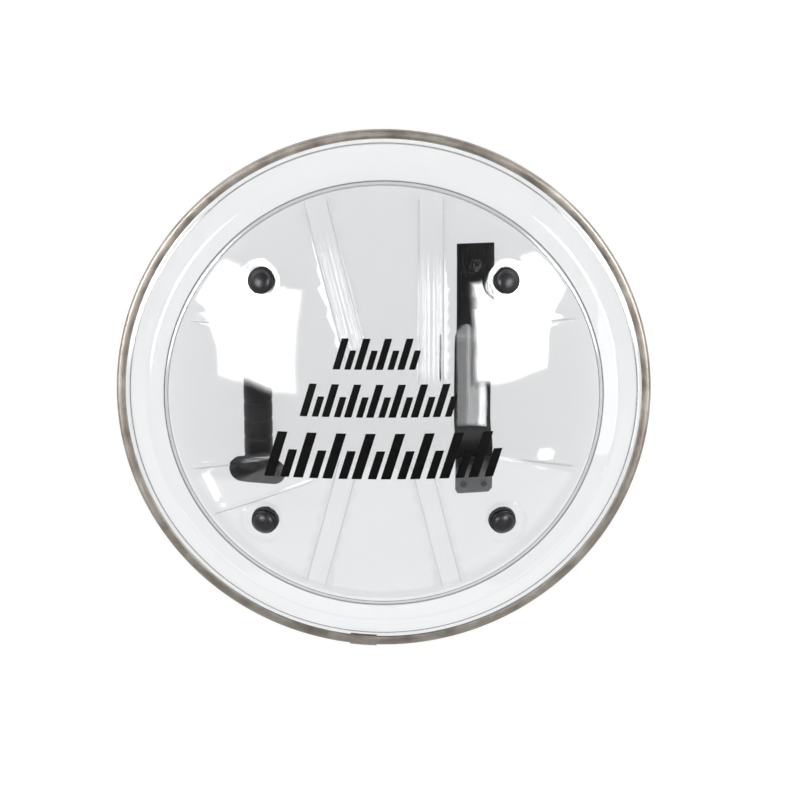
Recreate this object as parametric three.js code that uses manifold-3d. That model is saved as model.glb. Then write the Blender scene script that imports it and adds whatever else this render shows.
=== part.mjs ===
// A round riot shield of clear polycarbonate, lying front up on its grip and arm strap.
// Millimetres, +Z up. The origin is on the surface it lies on, below the middle of the dish.
// +Y is the top of the shield in use. Inside this file the dish is built with the middle of
// its flat lip at z = 0, and the whole is lifted at the end.

import * as THREE from 'three';
import { mergeVertices } from 'three/addons/utils/BufferGeometryUtils.js';
import { ConvexGeometry } from 'three/addons/geometries/ConvexGeometry.js';
import Module from 'manifold-3d';

const wasm = await Module();
wasm.setup();

// Driving dimensions of the dish
const shieldDiameter = 580;
const domeRadius = 600;
const creaseRadius = 235;
const creaseHeight = 15;
const lipWidth = 15;
const sheetThickness = 3.5;
const creaseFillet = 2.5;

// Driving dimensions of the steel strip round the lip and of its joint sleeve
const bindingWidth = 10;
const bindingWall = 1.2;
const sleeveWall = 0.9;
const sleeveLength = 30;
const sleeveOverhang = 1;
const sleeveX = -23;

// Driving dimensions of the inner sheet and its pressed ribs
const backingRadius = 231;
const backingThickness = 2.5;
const ribHeight = 1.5;
const spokeWidth = 20;
const ridgeWidth = 5;
const ribMargin = 1;

// Driving dimensions of the four bolts
const boltX = 130;
const boltY = 134;
const capDiameter = 28;
const capHeight = 8;
const capEdge = 1.5;
const shankDiameter = 7.4;
const spacerDiameter = 30;
const spacerHeight = 5;
const nutWidth = 16;
const nutHeight = 7;

// Driving dimensions of the handle
const handleX = -137;
const footSpan = 154;
const footLength = 63;
const footWidth = 29;
const footThickness = 6;
const gripWidth = 31;
const gripDepth = 26;
const gripCorner = 10;
const gripPitch = 20;
const gripRings = 7;
const gripGroove = 1.2;
const grooveFloor = 0.6;
const fingerGap = 38;
const legLength = 46;
const legWidth = 22;
const screwSpacing = 44;
const screwHeadDiameter = 8;
const screwHeadHeight = 2;
const screwDiameter = 4;
const screwDepth = 4.5;

// Driving dimensions of the arm strap
const strapX = 97;
const strapWidth = 40;
const strapThickness = 3;
const strapTop = 170;
const upperTabEnd = 95;
const loopStart = 42;
const loopEnd = -22;
const lowerTabStart = -60;
const strapBottom = -97;
const bendReach = 34;
const keeperWidth = 38;
const keeperLength = 42;
const keeperThickness = 2;
const keeperCorner = 4;
const keeperY = -79;
const rivetHeadDiameter = 14;
const rivetHeadHeight = 1.8;
const rivetDiameter = 5;
const rivetTailDiameter = 9;
const upperRivetY = 149;
const middleRivetY = 110;
const lowerRivetY = -89;
const lowerRivetSpacing = 22;

// Clearances between pieces that touch, and between a shank and its hole, and the room left for
// the flats of a round form
const fitGap = 0.3;
const holeGap = 0.3;
const facetRoom = 0.1;

// Fineness of the round forms
const ringSegments = 56;
const domeSteps = 6;
const shoulderSteps = 4;
const backingSteps = 5;
const noseSteps = 4;
const smallSegments = 10;
const boltSegments = 14;
const capSteps = 4;
const tabSteps = 4;
const bendSteps = 9;

// Colours of the materials
const clearColour = 0xeef2f3;
const steelColour = 0x8c837a;
const blackColour = 0x222224;
const webbingColour = 0x1b1b1d;
const greyColour = 0x5b5b5e;

// Height of an arc over its chord, for flat pieces that sit in a round sheet
function sag(halfChord, radius) {
  return radius - Math.sqrt(radius * radius - halfChord * halfChord);
}

// A closed solid from any closed geometry, with its faces pointing out
function solid(geometry) {
  const bare = geometry.index ? geometry.toNonIndexed() : geometry.clone();
  bare.deleteAttribute('normal');
  bare.deleteAttribute('uv');
  const merged = mergeVertices(bare, 1e-4);
  const positions = merged.attributes.position.array;
  const kept = [];
  let volume = 0;
  for (let i = 0; i < merged.index.count; i += 3) {
    const corner = [0, 1, 2].map((k) => merged.index.getX(i + k));
    if (corner[0] === corner[1] || corner[1] === corner[2] || corner[0] === corner[2]) {
      continue;
    }
    kept.push(...corner);
    const [a, b, c] = corner.map((k) => new THREE.Vector3().fromArray(positions, 3 * k));
    volume += a.dot(b.cross(c)) / 6;
  }
  if (volume < 0) {
    kept.reverse();
  }
  const mesh = new wasm.Mesh({
    numProp: 3,
    vertProperties: new Float32Array(positions),
    triVerts: new Uint32Array(kept),
  });
  return new wasm.Manifold(mesh);
}

function geometryOf(manifold) {
  const mesh = manifold.getMesh();
  const geometry = new THREE.BufferGeometry();
  geometry.setAttribute('position', new THREE.BufferAttribute(mesh.vertProperties, 3));
  geometry.setIndex(new THREE.BufferAttribute(mesh.triVerts, 1));
  geometry.computeVertexNormals();
  return geometry;
}

// A ring or disc turned about Z from a closed profile of [radius, height] points
function turned(profile, segments) {
  const points = profile.map(([r, z]) => new THREE.Vector2(r, z));
  const geometry = new THREE.LatheGeometry(points, segments);
  geometry.rotateX(Math.PI / 2);
  return geometry;
}

function closed(profile) {
  return [...profile, profile[0]];
}

// The same profile moved sideways by a distance, with mitred corners
function offsetProfile(profile, distance) {
  return profile.map((point, i) => {
    const before = profile[Math.max(i - 1, 0)];
    const after = profile[Math.min(i + 1, profile.length - 1)];
    const directions = [[before, point], [point, after]]
      .map(([p, q]) => new THREE.Vector2(q[0] - p[0], q[1] - p[1]))
      .filter((d) => d.lengthSq() > 0)
      .map((d) => d.normalize());
    const normals = directions.map((d) => new THREE.Vector2(d.y, -d.x));
    const mean = normals.reduce((sum, n) => sum.add(n), new THREE.Vector2()).normalize();
    const reach = distance / mean.dot(new THREE.Vector2(directions[0].y, -directions[0].x));
    return [point[0] + mean.x * reach, point[1] + mean.y * reach];
  });
}

function rectangle(width, height, corner) {
  const x = width / 2;
  const y = height / 2;
  const shape = new THREE.Shape();
  shape.moveTo(-x + corner, -y);
  shape.lineTo(x - corner, -y);
  shape.absarc(x - corner, -y + corner, corner, -Math.PI / 2, 0);
  shape.lineTo(x, y - corner);
  shape.absarc(x - corner, y - corner, corner, 0, Math.PI / 2);
  shape.lineTo(-x + corner, y);
  shape.absarc(-x + corner, y - corner, corner, Math.PI / 2, Math.PI);
  shape.lineTo(-x, -y + corner);
  shape.absarc(-x + corner, -y + corner, corner, Math.PI, 1.5 * Math.PI);
  return shape;
}

// A plate or bar of an outline's shape, standing on z = 0
function extruded(outline, depth, curveSegments) {
  return new THREE.ExtrudeGeometry(outline, { depth, curveSegments, bevelEnabled: false });
}

// A rectangle whose short sides are half circles, with a trace of straight left in them
function stadium(width, height) {
  return rectangle(width, height, 0.4995 * height);
}

// Heights on the dish: everything is measured from the middle of the flat lip
const lipTop = sheetThickness / 2;
const shoulderFoot = shieldDiameter / 2 - lipWidth;
const domeCentre = creaseHeight - Math.sqrt(domeRadius ** 2 - creaseRadius ** 2);
const domeStep = creaseRadius / domeSteps;
const facetSag = sag(domeStep / 2, domeRadius) + facetRoom;

function sphereHeight(radius, x, y) {
  return domeCentre + Math.sqrt(radius * radius - x * x - y * y);
}

// Frame on a sphere about the dome's centre, with its Z along the outward normal
function sphereFrame(radius, x, y) {
  const place = new THREE.Vector3(x, y, sphereHeight(radius, x, y));
  const normal = place.clone().sub(new THREE.Vector3(0, 0, domeCentre)).normalize();
  const turn = new THREE.Quaternion().setFromUnitVectors(new THREE.Vector3(0, 0, 1), normal);
  return new THREE.Matrix4().compose(place, turn, new THREE.Vector3(1, 1, 1));
}

function placed(geometry, frame) {
  return geometry.clone().applyMatrix4(frame);
}

// The stack along a bolt, as depths below the outer face of the dish
const spacerTop = sheetThickness + fitGap + sag(spacerDiameter / 2, domeRadius) + facetSag;
const spacerFoot = spacerTop + spacerHeight;
const backingFront = spacerFoot + fitGap;
const backingBack = backingFront + backingThickness;
const nutTop = backingBack + fitGap + sag(nutWidth / 2, domeRadius) + facetSag;
const nutFoot = nutTop + nutHeight;
const frontRadius = domeRadius - backingFront;
const backRadius = domeRadius - backingBack;
const holeDiameter = shankDiameter + 2 * holeGap;
const cutReach = 20;

// The grip lies on the ground, so its depth below the inner sheet sets how high the lip is
const gripTop = sphereHeight(backRadius, handleX, 0) - fingerGap;
const ground = gripTop - gripDepth;

const boltFrames = [[-1, 1], [1, 1], [-1, -1], [1, -1]]
  .map(([sx, sy]) => sphereFrame(domeRadius, sx * boltX, sy * boltY));

function holeCutter(diameter, top, foot, frame) {
  const cutter = new THREE.CylinderGeometry(diameter / 2, diameter / 2, top - foot, smallSegments);
  cutter.rotateX(Math.PI / 2);
  cutter.translate(0, 0, (top + foot) / 2);
  return solid(placed(cutter, frame));
}

function withHoles(body, cutters) {
  return cutters.reduce((left, cutter) => left.subtract(cutter), body);
}

// The dome, the crease, the rounded shoulder and the flat lip, from the middle outwards
function dishProfile() {
  const points = [];
  for (let i = 0; i < domeSteps; i += 1) {
    const r = i * domeStep;
    points.push([r, sphereHeight(domeRadius, r, 0)]);
  }
  points.push([creaseRadius - creaseFillet, sphereHeight(domeRadius, creaseRadius - creaseFillet, 0)]);
  const start = creaseRadius + creaseFillet;
  const drop = creaseHeight - lipTop;
  for (let i = 0; i <= shoulderSteps; i += 1) {
    const share = i / shoulderSteps;
    const r = start + share * (shoulderFoot - start);
    points.push([r, lipTop + drop * Math.cos(share * Math.PI / 2)]);
  }
  const edge = shieldDiameter / 2 - bindingWall - fitGap;
  points.push([edge, lipTop]);
  return points;
}

function clearShell() {
  const outer = dishProfile();
  const inner = offsetProfile(outer, sheetThickness);
  inner[0][0] = 0;
  const profile = [...outer, ...inner.reverse()];
  const dish = solid(turned(profile, ringSegments));
  const cutters = boltFrames.map((frame) => holeCutter(holeDiameter, cutReach, -cutReach, frame));
  return geometryOf(withHoles(dish, cutters));
}

// The outline of the strip's section: a flat-sided band with a round nose
const bindingHeight = sheetThickness + 2 * (fitGap + bindingWall);
const bindingInner = shieldDiameter / 2 - bindingWidth;

function noseOutline(grow, inner) {
  const half = bindingHeight / 2;
  const centre = shieldDiameter / 2 - half;
  const points = [[inner, half + grow]];
  for (let i = 0; i <= noseSteps; i += 1) {
    const angle = Math.PI / 2 - i * Math.PI / noseSteps;
    points.push([centre + (half + grow) * Math.cos(angle), (half + grow) * Math.sin(angle)]);
  }
  points.push([inner, -half - grow]);
  return points;
}

function edgeBinding() {
  const slot = sheetThickness / 2 + fitGap;
  const floor = shieldDiameter / 2 - bindingWall;
  const outline = noseOutline(0, bindingInner);
  const channel = [[bindingInner, -slot], [floor, -slot], [floor, slot], [bindingInner, slot]];
  return geometryOf(solid(turned(closed([...outline, ...channel]), ringSegments)));
}

function jointSleeve() {
  const sleeveInner = bindingInner - sleeveOverhang;
  const inside = noseOutline(fitGap, sleeveInner);
  const outside = noseOutline(fitGap + sleeveWall, sleeveInner);
  const ring = solid(turned(closed([...outside, ...inside.reverse()]), ringSegments));
  const block = new THREE.BoxGeometry(sleeveLength, 4 * bindingWidth, 4 * bindingHeight);
  block.translate(sleeveX, -shieldDiameter / 2, 0);
  return geometryOf(ring.intersect(solid(block)));
}

// Ribs of the inner sheet: [x, y] of each end, and the width
const sideLines = [[-206, 82, -131, 60], [-183, 130, -79, 82], [206, 82, 128, 60]];
const ribs = [
  [-68, 203, -36, 89, spokeWidth],
  [49, 206, 49, 68, spokeWidth],
  [-41, -82, -68, -198, spokeWidth],
  [43, -82, 68, -198, spokeWidth],
  ...sideLines.map((line) => [...line, ridgeWidth]),
  ...sideLines.map(([x1, y1, x2, y2]) => [x1, -y1, x2, -y2, ridgeWidth]),
];

function ribPrism([x1, y1, x2, y2, width]) {
  const length = Math.hypot(x2 - x1, y2 - y1);
  const outline = rectangle(length + width, width, 0.45 * width);
  const prism = extruded(outline, domeRadius, 1);
  prism.rotateZ(Math.atan2(y2 - y1, x2 - x1));
  prism.translate((x1 + x2) / 2, (y1 + y2) / 2, -domeRadius / 2);
  return solid(prism);
}

// A layer of the dome between two radii, out to a distance from the axis
function domeLayer(outerRadius, innerRadius, edge) {
  const outer = [];
  const inner = [];
  for (let i = 0; i <= backingSteps; i += 1) {
    const r = i * edge / backingSteps;
    outer.push([r, sphereHeight(outerRadius, r, 0)]);
    inner.push([r, sphereHeight(innerRadius, r, 0)]);
  }
  return solid(turned([...outer, ...inner.reverse()], ringSegments));
}

const footY = footSpan / 2;
const footPlaces = [[handleX, footY], [handleX, -footY]];

// Screws of the handle: two to a foot, set along the foot's length
const screwFrames = footPlaces.flatMap(([x, y]) => [-1, 1].map((side) => {
  const shift = new THREE.Matrix4().makeTranslation(side * screwSpacing / 2, 0, 0);
  return sphereFrame(frontRadius, x, y).multiply(shift);
}));

const rivetFrames = [
  [strapX, upperRivetY],
  [strapX, middleRivetY],
  [strapX - lowerRivetSpacing / 2, lowerRivetY],
  [strapX + lowerRivetSpacing / 2, lowerRivetY],
].map(([x, y]) => sphereFrame(frontRadius, x, y));

const screwHole = screwDiameter + 2 * holeGap;
const rivetHole = rivetDiameter + 2 * holeGap;

function backingSheet() {
  const plain = domeLayer(frontRadius, backRadius, backingRadius);
  const ribEdge = backingRadius - ribMargin;
  const ribLayer = domeLayer(frontRadius + ribHeight, frontRadius - backingThickness / 2, ribEdge);
  const ribbed = ribs.reduce((sheet, rib) => sheet.add(ribLayer.intersect(ribPrism(rib))), plain);
  const cutters = [
    ...boltFrames.map((frame) => holeCutter(holeDiameter, cutReach, -cutReach, frame)),
    ...screwFrames.map((frame) => holeCutter(screwHole, cutReach, -cutReach, frame)),
    ...rivetFrames.map((frame) => holeCutter(rivetHole, cutReach, -cutReach, frame)),
  ];
  return geometryOf(withHoles(ribbed, cutters));
}

// A domed cap with its shank, from the top down
function boltCap() {
  const radius = capDiameter / 2;
  const profile = [[0, capHeight]];
  const bulge = capHeight - capEdge - fitGap;
  for (let i = 1; i <= capSteps; i += 1) {
    const angle = i * Math.PI / 2 / capSteps;
    profile.push([radius * Math.sin(angle), fitGap + capEdge + bulge * Math.cos(angle)]);
  }
  const shank = shankDiameter / 2;
  profile.push([radius, fitGap], [shank, fitGap], [shank, -nutFoot], [0, -nutFoot]);
  return turned(profile, boltSegments);
}

function boltSpacer() {
  const hole = holeDiameter / 2;
  const rim = spacerDiameter / 2;
  const profile = [[hole, -spacerTop], [rim, -spacerTop], [rim, -spacerFoot], [hole, -spacerFoot]];
  return turned(closed(profile), boltSegments);
}

function boltNut() {
  const shape = new THREE.Shape();
  const corners = 6;
  const reach = nutWidth / 2 / Math.cos(Math.PI / corners);
  shape.moveTo(reach, 0);
  for (let i = 1; i < corners; i += 1) {
    const angle = i * 2 * Math.PI / corners;
    shape.lineTo(reach * Math.cos(angle), reach * Math.sin(angle));
  }
  const hole = new THREE.Path();
  hole.absarc(0, 0, holeDiameter / 2, 0, 2 * Math.PI, true);
  shape.holes.push(hole);
  const nut = extruded(shape, nutHeight, 6);
  nut.translate(0, 0, -nutFoot);
  return nut;
}

// A length of the grip's rounded section along Y, with its ends chamfered by the bevel
function gripLength(width, depth, length, bevel) {
  const shape = rectangle(width - 2 * bevel, depth - 2 * bevel, gripCorner - bevel);
  const bar = new THREE.ExtrudeGeometry(shape, {
    depth: length - 2 * bevel,
    bevelEnabled: bevel > 0,
    bevelThickness: bevel,
    bevelSize: bevel,
    bevelSegments: 1,
    curveSegments: 1,
  });
  bar.translate(0, 0, bevel - length / 2);
  bar.rotateX(Math.PI / 2);
  return bar;
}

// The lug between the grip and a foot: it widens towards the foot and leans with it
function leg(x, y, footFrame) {
  const points = [];
  const legTop = -footClearance - 0.6 * footThickness;
  const upper = rectangle(legLength, legWidth, 0.4 * legWidth).getPoints(1);
  for (const p of upper) {
    points.push(new THREE.Vector3(p.x, p.y, legTop).applyMatrix4(footFrame));
  }
  const lower = rectangle(gripWidth - 2 * gripGroove, legWidth, 0.3 * legWidth).getPoints(1);
  for (const p of lower) {
    points.push(new THREE.Vector3(x + p.x, y + p.y, ground + gripDepth / 2));
  }
  return solid(new ConvexGeometry(points));
}

const footClearance = fitGap + sag(footLength / 2, backRadius) + facetSag;

function handle() {
  const middle = (ground + gripTop) / 2;
  const endY = footY + legWidth / 2;
  const coreWidth = gripWidth - 2 * gripGroove;
  const coreDepth = gripDepth - 2 * gripGroove;
  const core = gripLength(coreWidth, coreDepth, 2 * endY - gripPitch / 2, 0);
  core.translate(handleX, 0, middle);
  let body = solid(core);
  for (let i = 0; i < gripRings; i += 1) {
    const ring = gripLength(gripWidth, gripDepth, gripPitch - grooveFloor, gripGroove);
    ring.translate(handleX, (i - (gripRings - 1) / 2) * gripPitch, middle);
    body = body.add(solid(ring));
  }
  const ringsEnd = gripRings * gripPitch / 2;
  for (const side of [-1, 1]) {
    const end = gripLength(gripWidth, gripDepth, endY - ringsEnd, gripGroove);
    end.translate(handleX, side * (endY + ringsEnd) / 2, middle);
    body = body.add(solid(end));
  }
  for (const [x, y] of footPlaces) {
    const frame = sphereFrame(backRadius, x, y);
    const foot = extruded(stadium(footLength, footWidth), footThickness, 4);
    foot.translate(0, 0, -footClearance - footThickness);
    body = body.add(solid(placed(foot, frame)));
    body = body.add(leg(x, y, frame));
  }
  const cutters = screwFrames.map((frame) =>
    holeCutter(screwHole, 0, -backingThickness - footClearance - screwDepth - holeGap, frame));
  return geometryOf(withHoles(body, cutters));
}

function handleScrew() {
  const head = screwHeadDiameter / 2;
  const shank = screwDiameter / 2;
  const tip = -backingThickness - footClearance - screwDepth;
  const profile = [
    [0, screwHeadHeight],
    [0.7 * head, screwHeadHeight],
    [head, 0.4 * screwHeadHeight],
    [head, fitGap],
    [shank, fitGap],
    [shank, tip],
    [0, tip],
  ];
  return turned(profile, smallSegments);
}

// Middle line of the webbing, as [y, z], at the strap's own distance from the axis
const tabRadius = backRadius - fitGap - facetSag - sag(strapWidth / 2, backRadius) - strapThickness / 2;
const keeperClearance = fitGap + facetSag + sag(keeperLength / 2, backRadius);
const lowerTabRadius = backRadius - 2 * keeperClearance - keeperThickness - strapThickness / 2;

function strapLine() {
  const height = (radius, y) => sphereHeight(radius, strapX, y);
  const slope = (radius, y) => -y / Math.sqrt(radius * radius - strapX * strapX - y * y);
  const low = ground + strapThickness / 2;
  const line = [];
  for (let i = 0; i < tabSteps; i += 1) {
    const y = strapTop + (upperTabEnd - strapTop) * i / tabSteps;
    line.push(new THREE.Vector2(y, height(tabRadius, y)));
  }
  const from = new THREE.Vector2(upperTabEnd, height(tabRadius, upperTabEnd));
  const down = new THREE.CubicBezierCurve(
    from,
    new THREE.Vector2(from.x - bendReach, from.y - bendReach * slope(tabRadius, upperTabEnd)),
    new THREE.Vector2(loopStart + bendReach, low),
    new THREE.Vector2(loopStart, low),
  );
  const to = new THREE.Vector2(lowerTabStart, height(lowerTabRadius, lowerTabStart));
  const up = new THREE.CubicBezierCurve(
    new THREE.Vector2(loopEnd, low),
    new THREE.Vector2(loopEnd - bendReach, low),
    new THREE.Vector2(to.x + bendReach, to.y + bendReach * slope(lowerTabRadius, lowerTabStart)),
    to,
  );
  line.push(...down.getPoints(bendSteps), ...up.getPoints(bendSteps));
  for (let i = 1; i <= tabSteps; i += 1) {
    const y = lowerTabStart + (strapBottom - lowerTabStart) * i / tabSteps;
    line.push(new THREE.Vector2(y, height(lowerTabRadius, y)));
  }
  return line;
}

function armStrap() {
  const line = strapLine().map((p) => [p.x, p.y]);
  const one = offsetProfile(line, strapThickness / 2);
  const other = offsetProfile(line, -strapThickness / 2);
  const shape = new THREE.Shape([...one, ...other.reverse()].map(([y, z]) => new THREE.Vector2(y, z)));
  const band = extruded(shape, strapWidth, 1);
  band.translate(0, 0, -strapWidth / 2);
  const axes = new THREE.Matrix4().makeBasis(
    new THREE.Vector3(0, 1, 0),
    new THREE.Vector3(0, 0, 1),
    new THREE.Vector3(1, 0, 0),
  );
  band.applyMatrix4(axes);
  leanTabs(band);
  band.translate(strapX, 0, 0);
  const cutters = rivetFrames.map((frame) => holeCutter(rivetHole, cutReach, -cutReach, frame));
  return geometryOf(withHoles(solid(band), cutters));
}

// The webbing lies flat on the ground and leans with the sheet where it is fastened
function leanTabs(band) {
  const position = band.attributes.position;
  const place = new THREE.Vector3();
  const tabRoom = 4 * strapThickness;
  for (let i = 0; i < position.count; i += 1) {
    place.fromBufferAttribute(position, i);
    const top = sphereHeight(backRadius, strapX, place.y);
    const share = THREE.MathUtils.smoothstep(place.z, ground + strapThickness, top - tabRoom);
    const slope = strapX / Math.sqrt(backRadius ** 2 - strapX ** 2 - place.y ** 2);
    position.setZ(i, place.z - place.x * slope * share);
  }
}

function strapKeeper() {
  const plate = extruded(rectangle(keeperWidth, keeperLength, keeperCorner), keeperThickness, 3);
  plate.translate(0, 0, -keeperClearance - keeperThickness);
  const body = solid(placed(plate, sphereFrame(backRadius, strapX, keeperY)));
  const cutters = rivetFrames.slice(2).map((frame) => holeCutter(rivetHole, cutReach, -cutReach, frame));
  return geometryOf(withHoles(body, cutters));
}

// A rivet with a broad head in front of the inner sheet and a tail behind the webbing
function strapRivet(head, tailDepth) {
  const shank = rivetDiameter / 2;
  const tail = rivetTailDiameter / 2;
  const foot = -tailDepth - rivetHeadHeight;
  const profile = [
    [0, rivetHeadHeight],
    [0.75 * head, rivetHeadHeight],
    [head, rivetHeadHeight / 2],
    [head, fitGap],
    [shank, fitGap],
    [shank, -tailDepth],
    [tail, -tailDepth],
    [0.8 * tail, foot],
    [0, foot],
  ];
  return turned(profile, smallSegments);
}

const clear = { color: clearColour, roughness: 0.05, metalness: 0, transparent: true, opacity: 0.3 };
const steel = { color: steelColour, roughness: 0.35, metalness: 1 };
const black = { color: blackColour, roughness: 0.5, metalness: 0 };
const webbing = { color: webbingColour, roughness: 0.9, metalness: 0 };
const grey = { color: greyColour, roughness: 0.5, metalness: 0.4 };

const shield = new THREE.Group();

function piece(name, geometry, look, frame) {
  const mesh = new THREE.Mesh(geometry, new THREE.MeshStandardMaterial(look));
  mesh.name = name;
  if (frame) {
    frame.decompose(mesh.position, mesh.quaternion, mesh.scale);
  }
  shield.add(mesh);
}

piece('clear_shell', clearShell(), clear);
piece('edge_binding', edgeBinding(), steel);
piece('binding_joint_sleeve', jointSleeve(), steel);
piece('backing_sheet', backingSheet(), clear);

boltFrames.forEach((frame, i) => {
  piece(`bolt_cap_${i + 1}`, geometryOf(solid(boltCap())), black, frame);
  piece(`bolt_spacer_${i + 1}`, geometryOf(solid(boltSpacer())), black, frame);
  piece(`bolt_nut_${i + 1}`, geometryOf(solid(boltNut())), black, frame);
});

piece('handle', handle(), black);
screwFrames.forEach((frame, i) => {
  piece(`handle_screw_${i + 1}`, geometryOf(solid(handleScrew())), black, frame);
});

piece('arm_strap', armStrap(), webbing);
piece('strap_keeper', strapKeeper(), grey);

// Behind the upper tab the tail bears on the webbing, and behind the lower one the keeper adds its depth
const strapStack = fitGap + facetSag + sag(strapWidth / 2, backRadius) + strapThickness;
const keeperStack = 2 * keeperClearance + keeperThickness + strapThickness;
const tailRoom = 2 * fitGap;
rivetFrames.forEach((frame, i) => {
  const upper = i < 2;
  const depth = backingThickness + tailRoom + (upper ? strapStack : keeperStack);
  const head = upper ? rivetHeadDiameter / 2 : rivetHeadDiameter / 4;
  piece(`strap_rivet_${i + 1}`, geometryOf(solid(strapRivet(head, depth))), black, frame);
});

shield.position.z = -ground;

export default shield;
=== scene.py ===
"""Finished surfaces of a round riot shield, built round its measured frame, with a plain studio."""

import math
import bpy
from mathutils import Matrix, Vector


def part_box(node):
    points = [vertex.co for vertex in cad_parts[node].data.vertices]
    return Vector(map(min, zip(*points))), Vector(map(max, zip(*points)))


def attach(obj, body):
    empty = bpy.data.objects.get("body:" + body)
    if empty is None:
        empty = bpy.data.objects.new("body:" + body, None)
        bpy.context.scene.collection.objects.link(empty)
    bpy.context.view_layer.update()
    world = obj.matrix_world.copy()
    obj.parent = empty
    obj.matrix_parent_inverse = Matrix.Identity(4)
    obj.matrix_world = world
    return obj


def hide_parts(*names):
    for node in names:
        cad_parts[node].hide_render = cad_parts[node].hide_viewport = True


bl_info = {
    "name": "Round Riot Shield",
    "version": (1, 0, 0),
    "blender": (4, 5, 0),
    "location": "3D View > Sidebar > Shield",
    "description": "Clear dish, ribbed inner sheet, edge strip, fittings, grip and arm strap",
    "category": "Object",
}

import bmesh
import bpy
import numpy as np
from mathutils import Matrix, Vector
from mathutils.geometry import delaunay_2d_cdt

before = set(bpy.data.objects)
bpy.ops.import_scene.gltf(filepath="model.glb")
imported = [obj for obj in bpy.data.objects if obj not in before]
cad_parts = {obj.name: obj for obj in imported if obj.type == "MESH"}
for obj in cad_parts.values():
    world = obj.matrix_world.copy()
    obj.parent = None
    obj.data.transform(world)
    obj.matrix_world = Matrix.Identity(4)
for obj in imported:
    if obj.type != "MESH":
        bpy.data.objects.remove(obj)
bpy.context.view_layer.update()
BODY = "root"
MM = 0.001


def node_box(name):
    low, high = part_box(name)
    return Vector(low), Vector(high)


# Places read from the frame, in metres
STRIP_LOW, STRIP_HIGH = node_box("edge_binding")
INNER_LOW, INNER_HIGH = node_box("backing_sheet")
STRAP_LOW, STRAP_HIGH = node_box("arm_strap")
LIP_Z = (STRIP_LOW.z + STRIP_HIGH.z) / 2
STRIP_RADIUS = STRIP_HIGH.x
STRIP_HALF = (STRIP_HIGH.z - STRIP_LOW.z) / 2
DISH_EDGE = node_box("clear_shell")[1].x
INNER_EDGE = INNER_HIGH.x


# Settings that a user would change


class DishSizes(bpy.types.PropertyGroup):
    dome_radius: bpy.props.FloatProperty(
        name="Dome radius", description="Radius of the dome's outer face", default=0.6, unit="LENGTH")
    crease_radius: bpy.props.FloatProperty(
        name="Crease radius", description="Where the dome meets the shoulder", default=0.235, unit="LENGTH")
    crease_height: bpy.props.FloatProperty(
        name="Crease height", description="Height of the crease above the lip", default=0.015, unit="LENGTH")
    shoulder_foot: bpy.props.FloatProperty(
        name="Shoulder foot", description="Where the shoulder meets the flat lip", default=0.275,
        unit="LENGTH")
    sheet: bpy.props.FloatProperty(
        name="Sheet", description="Thickness of the outer sheet", default=0.0035, unit="LENGTH")
    inner_sheet: bpy.props.FloatProperty(
        name="Inner sheet", description="Thickness of the inner sheet", default=0.0025, unit="LENGTH")
    rib_height: bpy.props.FloatProperty(
        name="Rib height", description="How far the pressed ribs stand up", default=0.0015, unit="LENGTH")


class Finishes(bpy.types.PropertyGroup):
    floor_tone: bpy.props.FloatProperty(
        name="Floor tone", description="Reflectance of the studio floor", default=0.28, min=0.0, max=1.0,
        subtype="FACTOR")
    floor_glow: bpy.props.FloatProperty(
        name="Floor glow", description="Light that comes through the white table", default=0.82, min=0.0)
    room_light: bpy.props.FloatProperty(
        name="Room light", description="Strength of the even light of the room", default=0.72, min=0.0)
    room_dark: bpy.props.FloatProperty(
        name="Ceiling in reflections", description="Tone of the mirrored ceiling", default=0.05, min=0.0)
    room_walls: bpy.props.FloatProperty(
        name="Walls in reflections", description="Tone of the mirrored walls", default=1.0, min=0.0)
    backdrop: bpy.props.FloatProperty(
        name="Backdrop", description="Tone of the room behind the shield", default=1.02, min=0.0)


def sizes():
    return bpy.context.scene.shield_sizes


def finishes():
    return bpy.context.scene.shield_finishes


# Colours and shader nodes


def linear(hex_colour):
    """An sRGB hex value as linear RGBA."""
    channels = [int(hex_colour[i:i + 2], 16) / 255 for i in (0, 2, 4)]
    return tuple(c / 12.92 if c <= 0.04045 else ((c + 0.055) / 1.055) ** 2.4 for c in channels) + (1.0,)


def set_inputs(tree, node, inputs):
    """Puts values on a node's inputs, or links from sockets or from other nodes' first outputs in use."""
    for socket, value in inputs.items():
        if isinstance(value, bpy.types.Node):
            value = next(output for output in value.outputs if output.enabled)
        if isinstance(value, bpy.types.NodeSocket):
            tree.links.new(value, node.inputs[socket])
        else:
            node.inputs[socket].default_value = value


def add_node(tree, kind, inputs=None, **settings):
    """A shader node with its settings, and with values or links on its inputs."""
    made = tree.nodes.new("ShaderNode" + kind)
    for name, value in settings.items():
        setattr(made, name, value)
    set_inputs(tree, made, inputs or {})
    return made


def new_material(name):
    """An empty node material with its shader, and the object's own coordinates in metres."""
    material = bpy.data.materials.new(name)
    material.use_nodes = True
    tree = material.node_tree
    tree.nodes.clear()
    shader = add_node(tree, "BsdfPrincipled")
    output = add_node(tree, "OutputMaterial")
    tree.links.new(shader.outputs["BSDF"], output.inputs["Surface"])
    place = add_node(tree, "TexCoord").outputs["Object"]
    return material, tree, shader, place


# Most of a noise's values lie between these two
NOISE_SPAN = {"From Min": 0.3, "From Max": 0.7}


def dress(tree, shader, colours, tone, roughness, relief, depth_mm):
    """Gives a shader two colours blended by a tone, its roughness, and a relief of some depth."""
    first, second = (linear(colour) for colour in colours)
    set_inputs(tree, shader, {
        "Base Color": add_node(tree, "Mix", {"Factor": tone, "A": first, "B": second}, data_type="RGBA"),
        "Roughness": roughness,
        "Normal": add_node(tree, "Bump", {"Height": relief, "Distance": depth_mm * MM}),
    })


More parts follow.
